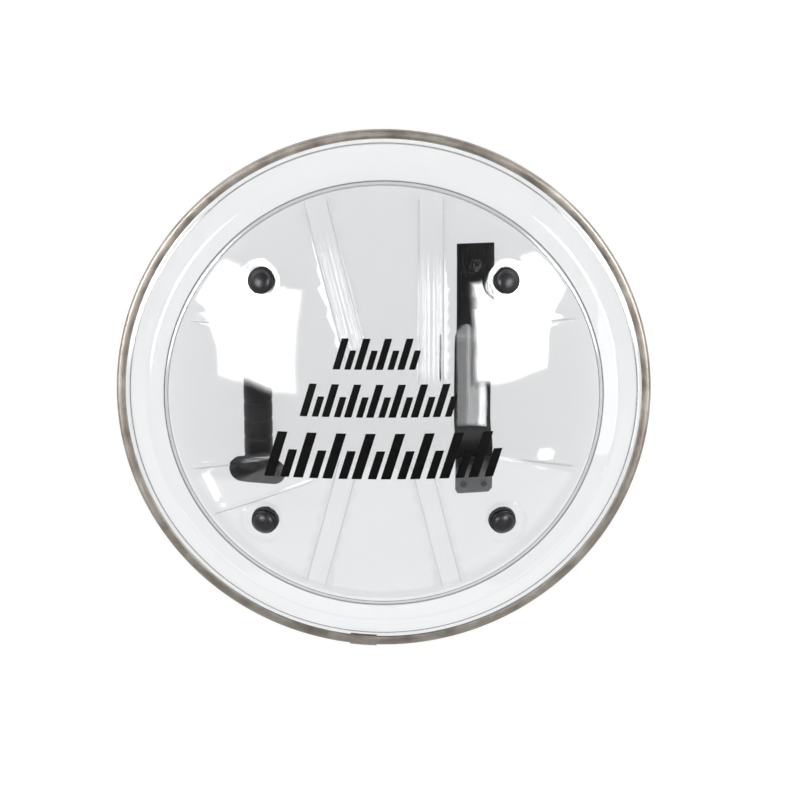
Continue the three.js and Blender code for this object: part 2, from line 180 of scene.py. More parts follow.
def surface(name, colours, broad, rough, fine, depth_mm, tone_by=None, rough_by="broad", fixed=None):
    """A finish with a broad noise and a fine one, each as its size in mm and its detail.

    The colours drift with the broad noise, or with the pattern of tone_by. The roughness goes between its two
    ends with the noise that rough_by names. The fine noise is the relief.
    """
    material, tree, shader, place = new_material(name)
    noises = {}
    for pattern, (size_mm, detail) in (("broad", broad), ("fine", fine)):
        noises[pattern] = add_node(tree, "TexNoise", {
            "Vector": place, "Scale": 1.0 / (size_mm * MM), "Detail": detail, "Roughness": 0.55})
    low, high = rough
    roughness = add_node(tree, "MapRange", {
        "Value": noises[rough_by], **NOISE_SPAN, "To Min": low, "To Max": high})
    if tone_by:
        tone = tone_by(tree, place)
    else:
        tone = add_node(tree, "MapRange", {"Value": noises["broad"], **NOISE_SPAN})
    dress(tree, shader, colours, tone, roughness, noises["fine"], depth_mm)
    set_inputs(tree, shader, fixed or {})
    return material


def clear_sheet(name, colours, painted_shade_share):
    """Clear polycarbonate: glassy, with handling haze, a forming ripple and painted shade: grey lines in its
    base colour that stand in for the dark refraction lines along its bends and ribs.
    """
    # The forming ripple is about 45 mm from crest to crest
    return surface(name, colours, (60.0, 4.0), (0.012, 0.04), (45.0, 1.0), 0.12, tone_by=painted_shade_share,
                   fixed={"Transmission Weight": 1.0, "IOR": 1.585})


def painted_bend_shade(tree, place):
    """Share of painted shade along the crease and along the foot of the shoulder: grey lines that stand in
    for the dark refraction lines of the sheet's tight bends.
    """
    flat = add_node(tree, "VectorMath", {0: place, 1: (1.0, 1.0, 0.0)}, operation="MULTIPLY")
    radius = add_node(tree, "VectorMath", {0: flat}, operation="LENGTH")
    crease, foot = sizes().crease_radius, sizes().shoulder_foot
    share = 0.0
    # Painted shade: the crease shows as two fine grey lines with a softer grey between them, and the lip as
    # one line
    for middle, half_width, strength in (
            (crease - 0.0022, 0.0012, 0.8), (crease + 0.002, 0.0013, 1.0), (crease, 0.0026, 0.35),
            (foot, 0.0013, 0.9)):
        away = add_node(tree, "Math", {0: radius, 1: middle}, operation="SUBTRACT")
        far = add_node(tree, "Math", {0: away}, operation="ABSOLUTE")
        line = add_node(tree, "MapRange", {
            "Value": far, "From Max": half_width, "To Min": strength, "To Max": 0.0},
            interpolation_type="SMOOTHSTEP")
        share = add_node(tree, "Math", {0: share, 1: line}, operation="MAXIMUM")
    return share


def painted_rib_shade(tree, _):
    """Share of painted shade along the sides of the pressed ribs, from the mesh: grey lines that stand in for
    the dark refraction lines of the ribs' steep sides.
    """
    return add_node(tree, "Attribute", attribute_name="rib_painted_shade").outputs["Fac"]


def moulded_polycarbonate():
    """Clear polycarbonate, blow-formed into a dish, with painted shade: fine grey lines painted along its
    tight bends.
    """
    # The second colour is the grey of the painted shade along the bends
    return clear_sheet("moulded_polycarbonate", ("F4F5F6", "6A6C74"), painted_bend_shade)


def pressed_polycarbonate():
    """Clear polycarbonate, pressed with ribs, with painted shade: fine grey lines painted along the ribs'
    steep sides.
    """
    # The second colour is the grey of the painted shade along the ribs
    return clear_sheet("pressed_polycarbonate", ("FFFFFF", "A9ABB0"), painted_rib_shade)


def rolled_stainless():
    """Stainless strip, roll-formed round the rim: satin, with fine lines along the strip and dull patches."""
    material, tree, shader, place = new_material("rolled_stainless_strip")
    parts = add_node(tree, "SeparateXYZ", {"Vector": place}).outputs
    flat = add_node(tree, "CombineXYZ", {"X": parts["X"], "Y": parts["Y"]})
    radius = add_node(tree, "VectorMath", {0: flat}, operation="LENGTH")
    angle = add_node(tree, "Math", {0: parts["Y"], 1: parts["X"]}, operation="ARCTAN2")
    # Rolling lines are drawn 0.5 mm apart, coarser than real ones so that they show, and 90 mm long
    across, along, upward = (
        add_node(tree, "Math", {0: way, 1: scale}, operation="MULTIPLY")
        for way, scale in (
            (radius, 1 / (0.5 * MM)), (angle, STRIP_RADIUS / (90 * MM)), (parts["Z"], 1 / (0.5 * MM))))
    grid = add_node(tree, "CombineXYZ", {"X": across, "Y": along, "Z": upward})
    lines = add_node(tree, "TexNoise", {"Vector": grid, "Scale": 1.0, "Detail": 2.0})
    patches = add_node(tree, "TexNoise", {
        "Vector": place, "Scale": 1.0 / (35 * MM), "Detail": 4.0, "Roughness": 0.65})
    tone, line_wear, patch_wear = (
        add_node(tree, "MapRange", {"Value": noise, **NOISE_SPAN, "To Min": low, "To Max": high})
        for noise, low, high in ((patches, 0.0, 1.0), (lines, 0.0, 0.12), (patches, 0.24, 0.4)))
    roughness = add_node(tree, "Math", {0: line_wear, 1: patch_wear}, operation="ADD")
    dress(tree, shader, ("8A8178", "B5AEA6"), tone, roughness, lines, 0.03)
    # A little short of a bare metal, for the dull film that a worn strip has
    shader.inputs["Metallic"].default_value = 0.75
    return material


def moulded_nylon_grip():
    """Moulded nylon: dark and half matt, with a fine spark-eroded grain and slightly polished high spots."""
    return surface("moulded_nylon_grip", ("1B1B1E", "26262A"), (18.0, 3.0), (0.42, 0.55), (0.7, 2.0), 0.06)


def moulded_cap_plastic():
    """Moulded cap plastic: black, with the soft gloss of a polished mould."""
    return surface("moulded_cap_plastic", ("202024", "2B2B30"), (18.0, 3.0), (0.3, 0.4), (0.5, 2.0), 0.02)


def moulded_rubber():
    """Moulded rubber: the darkest and dullest of the black pieces."""
    return surface("moulded_rubber", ("161617", "1E1E20"), (18.0, 3.0), (0.6, 0.75), (0.9, 2.0), 0.05)


def black_oxide_steel():
    """Steel fasteners with a black oxide finish: dark, half glossy, worn a little brighter in places."""
    return surface("black_oxide_steel", ("2A2A2C", "4A494A"), (3.0, 4.0), (0.3, 0.5), (0.6, 2.0), 0.015,
                   fixed={"Metallic": 0.8})


def coated_grey_plate():
    """Pressed steel plate with a grey powder coat: matt, with the coat's fine pebble."""
    return surface("powder_coated_plate", ("4E4E50", "5E5E60"), (14.0, 3.0), (0.45, 0.6), (1.1, 2.0), 0.04,
                   rough_by="fine")


def screen_print_ink():
    """Opaque black screen ink: even and slightly satin, with a soft mottle."""
    return surface("screen_printed_ink", ("0B0B0C", "131315"), (6.0, 3.0), (0.35, 0.5), (0.8, 2.0), 0.01,
                   fixed={"Specular IOR Level": 0.08})


def woven_nylon():
    """Nylon webbing: a plain weave with its warp in cords along the strap, sheened and a little fuzzy."""
    material, tree, shader, place = new_material("woven_nylon_webbing")
    run = add_node(tree, "Attribute", attribute_name="run").outputs["Fac"]
    across = add_node(tree, "SeparateXYZ", {"Vector": place}).outputs["X"]
    waves = []
    # Warp cords 1.9 mm apart and picks 1.5 mm apart, as on common 40 mm webbing
    for way, pitch_mm in ((across, 1.9), (run, 1.5), (run, 3.0)):
        turns = add_node(tree, "Math", {0: way, 1: math.tau / (pitch_mm * MM)}, operation="MULTIPLY")
        waves.append(add_node(tree, "Math", {0: turns}, operation="SINE"))
    warp, pick, half_pick = waves
    crossing = add_node(tree, "Math", {0: warp, 1: pick}, operation="MULTIPLY")
    weave = add_node(tree, "Math", {0: crossing, 1: half_pick, 2: warp}, operation="MULTIPLY_ADD")
    height = add_node(tree, "MapRange", {"Value": weave, "From Min": -1.6, "From Max": 1.6})
    fuzz = add_node(tree, "TexNoise", {
        "Vector": place, "Scale": 1.0 / (0.5 * MM), "Detail": 2.0, "Roughness": 0.55})
    roughness = add_node(tree, "MapRange", {"Value": fuzz, **NOISE_SPAN, "To Min": 0.7, "To Max": 0.9})
    dress(tree, shader, ("0F0F10", "29292C"), height, roughness, height, 0.5)
    shader.inputs["Sheen Weight"].default_value = 0.25
    return material


def twisted_thread():
    """Bonded nylon sewing thread: dark, with the turns of its twist."""
    material, tree, shader, place = new_material("bonded_nylon_thread")
    twist = add_node(tree, "TexWave", {"Vector": place, "Scale": 1.0 / (2.4 * MM), "Distortion": 1.0},
                     bands_direction="DIAGONAL").outputs["Fac"]
    dress(tree, shader, ("303034", "4A4A50"), twist, 0.55, twist, 0.1)
    return material


MATERIALS = {}


def material(maker):
    if maker.__name__ not in MATERIALS:
        MATERIALS[maker.__name__] = maker()
    return MATERIALS[maker.__name__]


# Meshes


def mesh_piece(name, shape, maker, replaces=(), smooth_angle=40.0, place=None):
    """A mesh object that rides on the shield, with its finish and the nodes that it stands for."""
    verts, faces = shape
    mesh = bpy.data.meshes.new(name)
    mesh.from_pydata([tuple(place @ Vector(v)) if place else tuple(v) for v in verts], [], faces)
    work = bmesh.new()
    work.from_mesh(mesh)
    bmesh.ops.remove_doubles(work, verts=work.verts, dist=1e-7)
    bmesh.ops.recalc_face_normals(work, faces=work.faces)
    for edge in work.edges:
        if len(edge.link_faces) == 2:
            edge.smooth = edge.calc_face_angle(0.0) < math.radians(smooth_angle)
    for face in work.faces:
        face.smooth = True
    work.to_mesh(mesh)
    work.free()
    piece = bpy.data.objects.new(name, mesh)
    bpy.context.scene.collection.objects.link(piece)
    mesh.materials.append(material(maker))
    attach(piece, BODY)
    if replaces:
        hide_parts(*replaces)
    return piece


def merged(shapes):
    """All vertices and faces of many meshes as one."""
    verts, faces = [], []
    for shape_verts, shape_faces in shapes:
        start = len(verts)
        verts += [tuple(v) for v in shape_verts]
        faces += [[start + i for i in face] for face in shape_faces]
    return verts, faces


def skin(rings, closed=False):
    """A mesh through rings with equal numbers of points, closed on itself or with both ends filled."""
    count = len(rings[0])
    starts = [j * count for j in range(len(rings))]
    faces = []
    for a, b in zip(starts, starts[1:] + (starts[:1] if closed else [])):
        faces += [[a + k, a + (k + 1) % count, b + (k + 1) % count, b + k] for k in range(count)]
    if not closed:
        faces += [list(range(count))[::-1], [starts[-1] + k for k in range(count)]]
    return [point for ring in rings for point in ring], faces


def revolve(profile, around, start=0.0, end=math.tau):
    """A closed profile of (radius, height), turned about Z right round or from one angle to another."""
    whole = end == math.tau
    radii, heights = np.array(profile).T
    rings = [np.stack([radii * math.cos(a), radii * math.sin(a), heights], axis=1)
             for a in np.linspace(start, end, around, endpoint=not whole)]
    return clean_faces(*skin(rings, closed=whole))


def clean_faces(verts, faces):
    """Joins vertices that lie on each other, and drops corners and faces that this makes empty."""
    keys = {}
    target = []
    kept = []
    for v in np.round(np.array(verts) / 1e-8).astype(np.int64):
        key = tuple(v)
        if key not in keys:
            keys[key] = len(kept)
            kept.append(len(target))
        target.append(keys[key])
    cleaned = []
    for face in faces:
        mapped = [target[i] for i in face]
        ring = [i for i, before in zip(mapped, mapped[-1:] + mapped[:-1]) if i != before]
        if len(ring) >= 3:
            cleaned.append(ring)
    return np.array(verts)[kept], cleaned


def offset_profile(profile, distance):
    """An open profile moved to its right by a distance, with mitred corners."""
    points = np.array(profile)
    steps = np.diff(points, axis=0)
    steps /= np.linalg.norm(steps, axis=1)[:, None]
    normals = np.stack([steps[:, 1], -steps[:, 0]], axis=1)
    before = np.vstack([normals[:1], normals])
    after = np.vstack([normals, normals[-1:]])
    mean = before + after
    mean /= np.linalg.norm(mean, axis=1)[:, None]
    reach = distance / np.sum(mean * before, axis=1)
    return points + mean * reach[:, None]


def dome_centre():
    s = sizes()
    return LIP_Z + s.crease_height - math.sqrt(s.dome_radius ** 2 - s.crease_radius ** 2)


def dome_height(radius, x, y):
    return dome_centre() + np.sqrt(radius ** 2 - x ** 2 - y ** 2)


def dome_frame(radius, x, y):
    """Matrix of a place on a sphere about the dome's centre, with Z along the outward normal."""
    place = Vector((x, y, float(dome_height(radius, x, y))))
    normal = (place - Vector((0, 0, dome_centre()))).normalized()
    turn = Vector((0, 0, 1)).rotation_difference(normal)
    return Matrix.Translation(place) @ turn.to_matrix().to_4x4()


def bead(distance, width, height):
    """Height of a rounded bead over its middle line."""
    return height * np.exp(-(distance / (width / 2)) ** 2)


def smooth_step(value, low, high):
    share = np.clip((value - low) / (high - low), 0.0, 1.0)
    return share * share * (3 - 2 * share)


# The four bolts, from the spacers' boxes in the frame

BOLT_COUNT = 4


def bolt_places():
    """Where each bolt's axis meets the dome's outer face: the cap sits on it."""
    centre = Vector((0, 0, dome_centre()))
    places = []
    for number in range(1, BOLT_COUNT + 1):
        low, high = node_box(f"bolt_spacer_{number}")
        out = ((low + high) / 2 - centre).normalized() * sizes().dome_radius + centre
        places.append((out.x, out.y))
    return places


# Sizes of the seat round each bolt
SEAT_RADIUS = 0.0212
SEAT_WIDTH = 0.0042
SEAT_RISE = 0.0009
# How far the fine part of the mesh reaches on each side of the bolts' circle
SEAT_ROOM = 0.028


def seat_lift(x, y):
    """The ring formed in the sheet round each bolt."""
    rings = [bead(np.hypot(x - bx, y - by) - SEAT_RADIUS, SEAT_WIDTH, SEAT_RISE) for bx, by in bolt_places()]
    return sum(rings)


# The shoulder's slope near the crease, as a share of its wall's, and where its bend starts and ends
SHOULDER_TOP = 0.08
SHOULDER_BEND = (0.38, 0.56)
SHOULDER_STEPS = 40
# Mesh steps of the dome: inside the bolts' circle, across it and outside it, and right round the dish
DOME_STEPS = (14, 36, 6)
DISH_AROUND = 432
# Half the width of the crease's round and how far it dips, and the easing of the dish's edge
CREASE_HALF = 0.0025
CREASE_DIP = 0.0004
EDGE_EASE = 0.0004


def shoulder_falls():
    """Places across the shoulder and its fall there: a gentle top, one bend and a straight wall."""
    middles = (np.arange(SHOULDER_STEPS) + 0.5) / SHOULDER_STEPS
    slopes = SHOULDER_TOP + (1 - SHOULDER_TOP) * smooth_step(middles, *SHOULDER_BEND)
    falls = np.concatenate([[0.0], np.cumsum(slopes)]) / slopes.sum()
    return [(i / SHOULDER_STEPS, float(fall)) for i, fall in enumerate(falls)]


def dish_profile():
    """Outer face from the middle out: dome, crease with its small step, shoulder and flat lip."""
    s = sizes()
    lip_top = LIP_Z + s.sheet / 2
    bolt_ring = math.hypot(*bolt_places()[0])
    inside, across, outside = DOME_STEPS
    radii = list(np.linspace(0, bolt_ring - SEAT_ROOM, inside)[:-1])
    radii += list(np.linspace(bolt_ring - SEAT_ROOM, bolt_ring + SEAT_ROOM, across))
    radii += list(np.linspace(bolt_ring + SEAT_ROOM, s.crease_radius - CREASE_HALF, outside)[1:])
    points = [(r, float(dome_height(s.dome_radius, r, 0.0))) for r in radii]
    start = s.crease_radius + CREASE_HALF
    top = LIP_Z + s.crease_height
    # A tight round at the foot of the dome, which dips a little below the shoulder's start
    dome_foot, dome_low = points[-1]
    for share in (0.25, 0.5, 0.75):
        r = dome_foot + (start - dome_foot) * share
        z = (1 - share) ** 2 * dome_low + 2 * share * (1 - share) * (top - CREASE_DIP) + share ** 2 * top
        points.append((r, z))
    points += [(start + share * (s.shoulder_foot - start), top - (top - lip_top) * fall)
               for share, fall in shoulder_falls()]
    # A small round between the shoulder and the lip
    foot, foot_z = points.pop()
    points += [(foot + 0.0004, foot_z + 0.0001), (foot + 0.0012, foot_z)]
    return points + [(DISH_EDGE - EDGE_EASE, lip_top), (DISH_EDGE, lip_top - EDGE_EASE)]


def outer_dish():
    s = sizes()
    outer = dish_profile()
    inner = offset_profile(outer[:-1], s.sheet)
    inner[0][0] = 0.0
    inner[-1] = (DISH_EDGE - EDGE_EASE, LIP_Z - s.sheet / 2)
    low_edge = (DISH_EDGE, LIP_Z - s.sheet / 2 + EDGE_EASE)
    verts, faces = revolve(outer + [low_edge] + [tuple(p) for p in inner[::-1]], DISH_AROUND)
    normals = verts - np.array([0, 0, dome_centre()])
    normals /= np.linalg.norm(normals, axis=1)[:, None]
    verts = verts + normals * seat_lift(verts[:, 0], verts[:, 1])[:, None]
    mesh_piece("dish", (verts, faces), moulded_polycarbonate, ["clear_shell"], 60.0)


# Ribs pressed into the inner sheet, in metres: the outer and inner ends of each middle line, and its width
SPOKES = [
    ((-0.074, 0.221), (-0.028, 0.050), 0.024),
    ((0.050, 0.226), (0.050, 0.020), 0.026),
    ((-0.036, -0.055), (-0.077, -0.222), 0.021),
    ((0.038, -0.055), (0.077, -0.222), 0.021),
]
RIDGES = [
    ((-0.210, 0.086), (-0.140, 0.086), 0.004),
    ((0.212, 0.086), (0.140, 0.086), 0.004),
    ((-0.212, -0.080), (-0.115, -0.058), 0.005),
    ((-0.192, -0.134), (-0.070, -0.080), 0.005),
    ((0.214, -0.080), (0.115, -0.058), 0.005),
]
# How far from each end a rib runs out into the sheet
RUNOUT = 0.016
# Width of the painted shade lines along the ribs
PAINTED_SHADE_WIDTH = 0.0016
# A spoke's side and inner beads: place as a share of half its width, width, and share of the full height
SIDE_BEAD = (0.86, 0.0034, 1.0)
INNER_BEAD = (0.36, 0.0026, 0.6)
# Middle lines of the mesh across half a rib, in shares of half its width, where its section bends
SPOKE_SHARES = (0.0, 0.2, 0.28, 0.36, 0.44, 0.52, 0.62, 0.7, 0.76, 0.82, 0.88, 0.94, 1.0, 1.08)
RIDGE_SHARES = (0.0, 0.2, 0.4, 0.6, 0.85, 1.15)
RIB_STEP = 0.004
SHEET_STEP = 0.008
EDGE_POINTS = 240


def rib_place(x, y, start, end):
    """Signed distance to a rib's middle line, and 1 along it, falling to 0 where it runs out at both ends."""
    sx, sy = start
    dx, dy = end[0] - sx, end[1] - sy
    length = math.hypot(dx, dy)
    along = ((x - sx) * dx + (y - sy) * dy) / length
    side = ((x - sx) * dy - (y - sy) * dx) / length
    return side, smooth_step(along, 0.0, RUNOUT) * smooth_step(length - along, 0.0, RUNOUT)


def rib_form(x, y):
    """Height of the pressed ribs at points, and their share of painted shade there.

    A spoke has a bead along each side and two inside, and painted shade along the outer foot of its side
    beads.
    A ridge is one narrow bead with painted shade along one side.
    """
    rise = sizes().rib_height
    lift, painted_grey = np.zeros_like(x), np.zeros_like(x)
    for start, end, width in SPOKES:
        side, share = rib_place(x, y, start, end)
        for place, bead_width, height in (SIDE_BEAD, INNER_BEAD):
            ridge = bead(np.abs(side) - place * width / 2, bead_width, height)
            lift = np.maximum(lift, rise * ridge * share)
        # Painted shade along the outer foot of the spoke's side beads
        painted_grey = np.maximum(painted_grey, bead(np.abs(side) - width / 2, PAINTED_SHADE_WIDTH, 0.8) * share)
    for start, end, width in RIDGES:
        side, share = rib_place(x, y, start, end)
        lift = np.maximum(lift, bead(side, 0.6 * width, 0.7 * rise) * share)
        # Painted shade along one side of the ridge
        painted_grey = np.maximum(painted_grey, bead(side - 0.3 * width, PAINTED_SHADE_WIDTH, 1.0) * share)
    return lift, painted_grey


def mesh_places(piece):
    places = np.empty(len(piece.data.vertices) * 3)
    piece.data.vertices.foreach_get("co", places)
    return places.reshape(-1, 3)


def write_values(mesh, name, values):
    """Stores one value for each point of a mesh, for its material to read."""
    mesh.attributes.new(name, "FLOAT", "POINT").data.foreach_set("value", values)


def rib_points():
    """Mesh points in rows along each rib, where its section bends."""
    points = []
    for lines, shares in ((SPOKES, SPOKE_SHARES), (RIDGES, RIDGE_SHARES)):
        for (x1, y1), (x2, y2), width in lines:
            offsets = sorted({sign * share * width / 2 for share in shares for sign in (1, -1)})
            length = math.hypot(x2 - x1, y2 - y1)
            dx, dy = (x2 - x1) / length, (y2 - y1) / length
            count = round(length / RIB_STEP)
            for i in range(count + 1):
                along = i * length / count
                points += [(x1 + dx * along + dy * o, y1 + dy * along - dx * o) for o in offsets]
    return np.array(points)


def plain_points(step, reach):
    """Mesh points in a triangular grid inside a circle."""
    rows = int(reach / step) + 1
    grid = [((i + 0.5 * (j % 2)) * step, j * step * 0.866) for j in range(-rows, rows + 1)
            for i in range(-rows - 1, rows + 1)]
    return np.array([p for p in grid if math.hypot(*p) < reach])


def away_from(points, others, distance):
    """The points that keep a distance to all others."""
    gaps = np.hypot(points[:, None, 0] - others[None, :, 0], points[:, None, 1] - others[None, :, 1])
    return points[gaps.min(axis=1) > distance]


def sheet_face(radius, edge_ring, inner_points, ribbed):
    """A triangulated face of the inner sheet, from points seen from above."""
    flat = [Vector(p) for p in edge_ring] + [Vector(p) for p in inner_points]
    border = [(i, (i + 1) % len(edge_ring)) for i in range(len(edge_ring))]
    places, _, faces, _, _, _ = delaunay_2d_cdt(flat, border, [], 1, 1e-7)
    x = np.array([p.x for p in places])
    y = np.array([p.y for p in places])
    lift = rib_form(x, y)[0] if ribbed else np.zeros_like(x)
    normals = np.stack([x, y, np.sqrt(radius ** 2 - x ** 2 - y ** 2)], axis=1) / radius
    verts = normals * (radius + lift)[:, None] + np.array([0, 0, dome_centre()])
    return verts, [list(face) for face in faces]


def inner_dish():
    front, back = inner_front_radius(), back_radius()
    turns = np.linspace(0, math.tau, EDGE_POINTS, endpoint=False)
    ring = np.stack([np.cos(turns), np.sin(turns)], axis=1) * INNER_EDGE
    ribs = rib_points()
    ribs = ribs[np.hypot(ribs[:, 0], ribs[:, 1]) < INNER_EDGE - 0.003]
    plain = plain_points(SHEET_STEP, INNER_EDGE - 0.004)
    front_verts, front_faces = sheet_face(front, ring, np.vstack([ribs, away_from(plain, ribs, 0.003)]), True)
    back_verts, back_faces = sheet_face(back, ring, plain, False)
    start = len(front_verts)
    faces = front_faces + [[start + i for i in face] for face in back_faces]
    for i in range(EDGE_POINTS):
        j = (i + 1) % EDGE_POINTS
        faces.append([i, j, start + j, start + i])
    shape = np.vstack([front_verts, back_verts]), faces
    piece = mesh_piece("inner_sheet", shape, pressed_polycarbonate, ["backing_sheet"], 60.0)
    places = mesh_places(piece)
    height = np.linalg.norm(places - np.array([0, 0, dome_centre()]), axis=1)
    # Painted shade along the ribs' sides, on the front face only, for the material to paint as grey lines
    sides = np.where(height > (front + back) / 2, rib_form(places[:, 0], places[:, 1])[1], 0.0)
    write_values(piece.data, "rib_painted_shade", sides)


def back_radius():
    """Radius of the inner sheet's back face, from the height of its edge in the frame."""
    return math.hypot(INNER_EDGE, INNER_LOW.z - dome_centre())


def inner_front_radius():
    return back_radius() + sizes().inner_sheet


# The steel strip and its sleeve


def strip_section(grow, inner_radius, roll=0.0006):
    """Outline of the strip's section from the upper inner edge over the nose to the lower inner edge."""
    half = STRIP_HALF + grow
    upper = [(inner_radius, half - roll), (inner_radius + roll * 0.3, half - roll * 0.3),
             (inner_radius + roll, half)]
    nose = arc((STRIP_RADIUS - STRIP_HALF, 0.0), (half, half), 90, -90, 14)
    return [(r, z + LIP_Z) for r, z in upper + nose + [(r, -z) for r, z in upper[::-1]]]


STRIP_WIDTH = 0.010
STRIP_WALL = 0.0012
SLEEVE_WALL = 0.0009
SLEEVE_GAP = 0.0003
CRIMP_DEPTH = 0.00025
CRIMP_LENGTH = 0.006
CRIMP_WIDTH = 0.0022
STRIP_AROUND = 360


def edge_strip():
    inner, floor = STRIP_RADIUS - STRIP_WIDTH, STRIP_RADIUS - STRIP_WALL
    low, high = LIP_Z - STRIP_HALF + STRIP_WALL, LIP_Z + STRIP_HALF - STRIP_WALL
    section = strip_section(0.0, inner) + [(inner, low), (floor, low), (floor, high), (inner, high)]
    shape = revolve(section, STRIP_AROUND)
    mesh_piece("edge_strip", shape, rolled_stainless, ["edge_binding"], 50.0)


def joint_sleeve():
    """A short sleeve pinched on over the strip's joint, with four crimps across its front."""
    low, high = node_box("binding_joint_sleeve")
    inner = STRIP_RADIUS - STRIP_WIDTH - 0.001
    outside = strip_section(SLEEVE_GAP + SLEEVE_WALL, inner, roll=0.0003)
    inside = strip_section(SLEEVE_GAP, inner, roll=0.0003)
    start, end = (math.atan2(-math.sqrt(STRIP_RADIUS ** 2 - x ** 2), x) for x in (low.x, high.x))
    verts, faces = revolve(outside + inside[::-1], 91, start, end)
    from_middle = np.hypot(verts[:, 0], verts[:, 1]) - (STRIP_RADIUS - STRIP_WIDTH / 2)
    for x in np.linspace(0.16, 0.84, 4) * (high.x - low.x) + low.x:
        dent = bead(verts[:, 0] - x, CRIMP_WIDTH, 1.0) * bead(from_middle, CRIMP_LENGTH, CRIMP_DEPTH)
        verts[:, 2] -= np.where(verts[:, 2] > LIP_Z, dent, 0.0)
    replaced = ["binding_joint_sleeve"]
    mesh_piece("strip_sleeve", (verts, faces), rolled_stainless, replaced, 50.0)


# Bolts


def on_bolts(name, shape, maker, node, smooth_angle=35.0):
    """The same piece on each of the four bolts."""
    for number, (x, y) in enumerate(bolt_places(), 1):
        place = dome_frame(sizes().dome_radius, x, y)
        mesh_piece(f"{name}_{number}", shape, maker, [f"{node}_{number}"], smooth_angle, place)


def arc(centre, radius, start, end, steps):
    """Points of an arc in the profile's plane, angles in degrees."""
    cx, cy = centre
    return [(cx + radius[0] * math.cos(math.radians(a)), cy + radius[1] * math.sin(math.radians(a)))
            for a in np.linspace(start, end, steps + 1)]


CAP_RADIUS = 0.014
CAP_HEIGHT = 0.008
CAP_EDGE = 0.0018
CAP_STEP = 0.0016
CAP_ROUND = 0.0009
SHANK_RADIUS = 0.0037
SPACER_RADIUS = 0.015
SPACER_HOLE = 0.004
SPACER_HEIGHT = 0.005
SPACER_ROUND = 0.0008
NUT_WIDTH = 0.016
NUT_HEIGHT = 0.007
BOLT_AROUND = 64
FIT_GAP = 0.0003


def bolt_caps():
    """Domed caps with a fine step above a rounded brim, and their shanks."""
    depth = sizes().dome_radius - back_radius() + NUT_HEIGHT
    profile = arc((0.0, CAP_EDGE), (CAP_RADIUS - CAP_STEP, CAP_HEIGHT - CAP_EDGE), 90, 0, 22)
    profile.append((CAP_RADIUS - CAP_STEP, CAP_EDGE - 0.0001))
    profile += arc((CAP_RADIUS - CAP_ROUND, FIT_GAP + CAP_ROUND), (CAP_ROUND, CAP_ROUND), 90, -90, 10)
    profile += [(SHANK_RADIUS, FIT_GAP), (SHANK_RADIUS, -depth), (0.0, -depth)]
    on_bolts("cap", revolve(profile, BOLT_AROUND), moulded_cap_plastic, "bolt_cap")


def bolt_spacers():
    foot = FIT_GAP + inner_front_radius() - sizes().dome_radius
    top = foot + SPACER_HEIGHT
    middle, ease = SPACER_RADIUS - SPACER_ROUND, (SPACER_ROUND, SPACER_ROUND)
    profile = [(SPACER_HOLE, top)] + arc((middle, top - SPACER_ROUND), ease, 90, 0, 5)
    profile += arc((middle, foot + SPACER_ROUND), ease, 0, -90, 5) + [(SPACER_HOLE, foot)]
    on_bolts("spacer", revolve(profile, BOLT_AROUND), moulded_rubber, "bolt_spacer")


def hexagon_nut(top, foot):
    """A hexagon nut with its corners turned off at both faces, round its threaded hole."""
    angles = np.linspace(0, math.tau, 96, endpoint=False)
    flat = NUT_WIDTH / 2
    edge = flat / np.cos((angles + math.pi / 6) % (math.pi / 3) - math.pi / 6)
    face_edge = np.minimum(edge, flat * 1.02)
    drop = (edge - face_edge) * 0.55 + 0.0002
    hole = np.full_like(angles, SPACER_HOLE)
    outline = [(hole, top), (face_edge, top), (edge, top - drop),
               (edge, foot + drop), (face_edge, foot), (hole, foot)]
    rings = [np.stack([r * np.cos(angles), r * np.sin(angles), z + 0 * angles], axis=1) for r, z in outline]
    return skin(rings, closed=True)


def bolt_nuts():
    top = back_radius() - sizes().dome_radius - 2 * FIT_GAP
    on_bolts("nut", hexagon_nut(top, top - NUT_HEIGHT), black_oxide_steel, "bolt_nut", 25.0)


# The handle

HANDLE_X = -0.137
FOOT_Y = 0.077
FOOT_LENGTH = 0.063
FOOT_WIDTH = 0.029
FOOT_THICKNESS = 0.006
GRIP_WIDTH = 0.031
GRIP_DEPTH = 0.026
GRIP_CORNER = 0.010
GRIP_PITCH = 0.020
GROOVE_DEPTH = 0.0013
GROOVE_WIDTH = 0.0028
GRIP_END_ROUND = 0.003
# Cell of the skin that fuses the grip with its feet
FUSE_CELL = 0.00085
LEG_LENGTH = 0.046
LEG_WIDTH = 0.022


def rounded_outline(width, height, corner, steps):
    """Points round a rectangle with rounded corners, anticlockwise."""
    points = []
    for cx, cy, start in ((1, 1, 0), (-1, 1, 90), (-1, -1, 180), (1, -1, 270)):
        middle = (cx * (width / 2 - corner), cy * (height / 2 - corner))
        points += arc(middle, (corner, corner), start, start + 90, steps)
    return points


def plate(matrix, width, height, corner, layers, steps):
    """A plate with rounded corners from layers, each with its outline's inset and its level."""
    return skin([[matrix @ Vector((a, b, z)) for a, b in
                  rounded_outline(width - 2 * inset, height - 2 * inset, corner - inset, steps)]
                 for inset, z in layers])


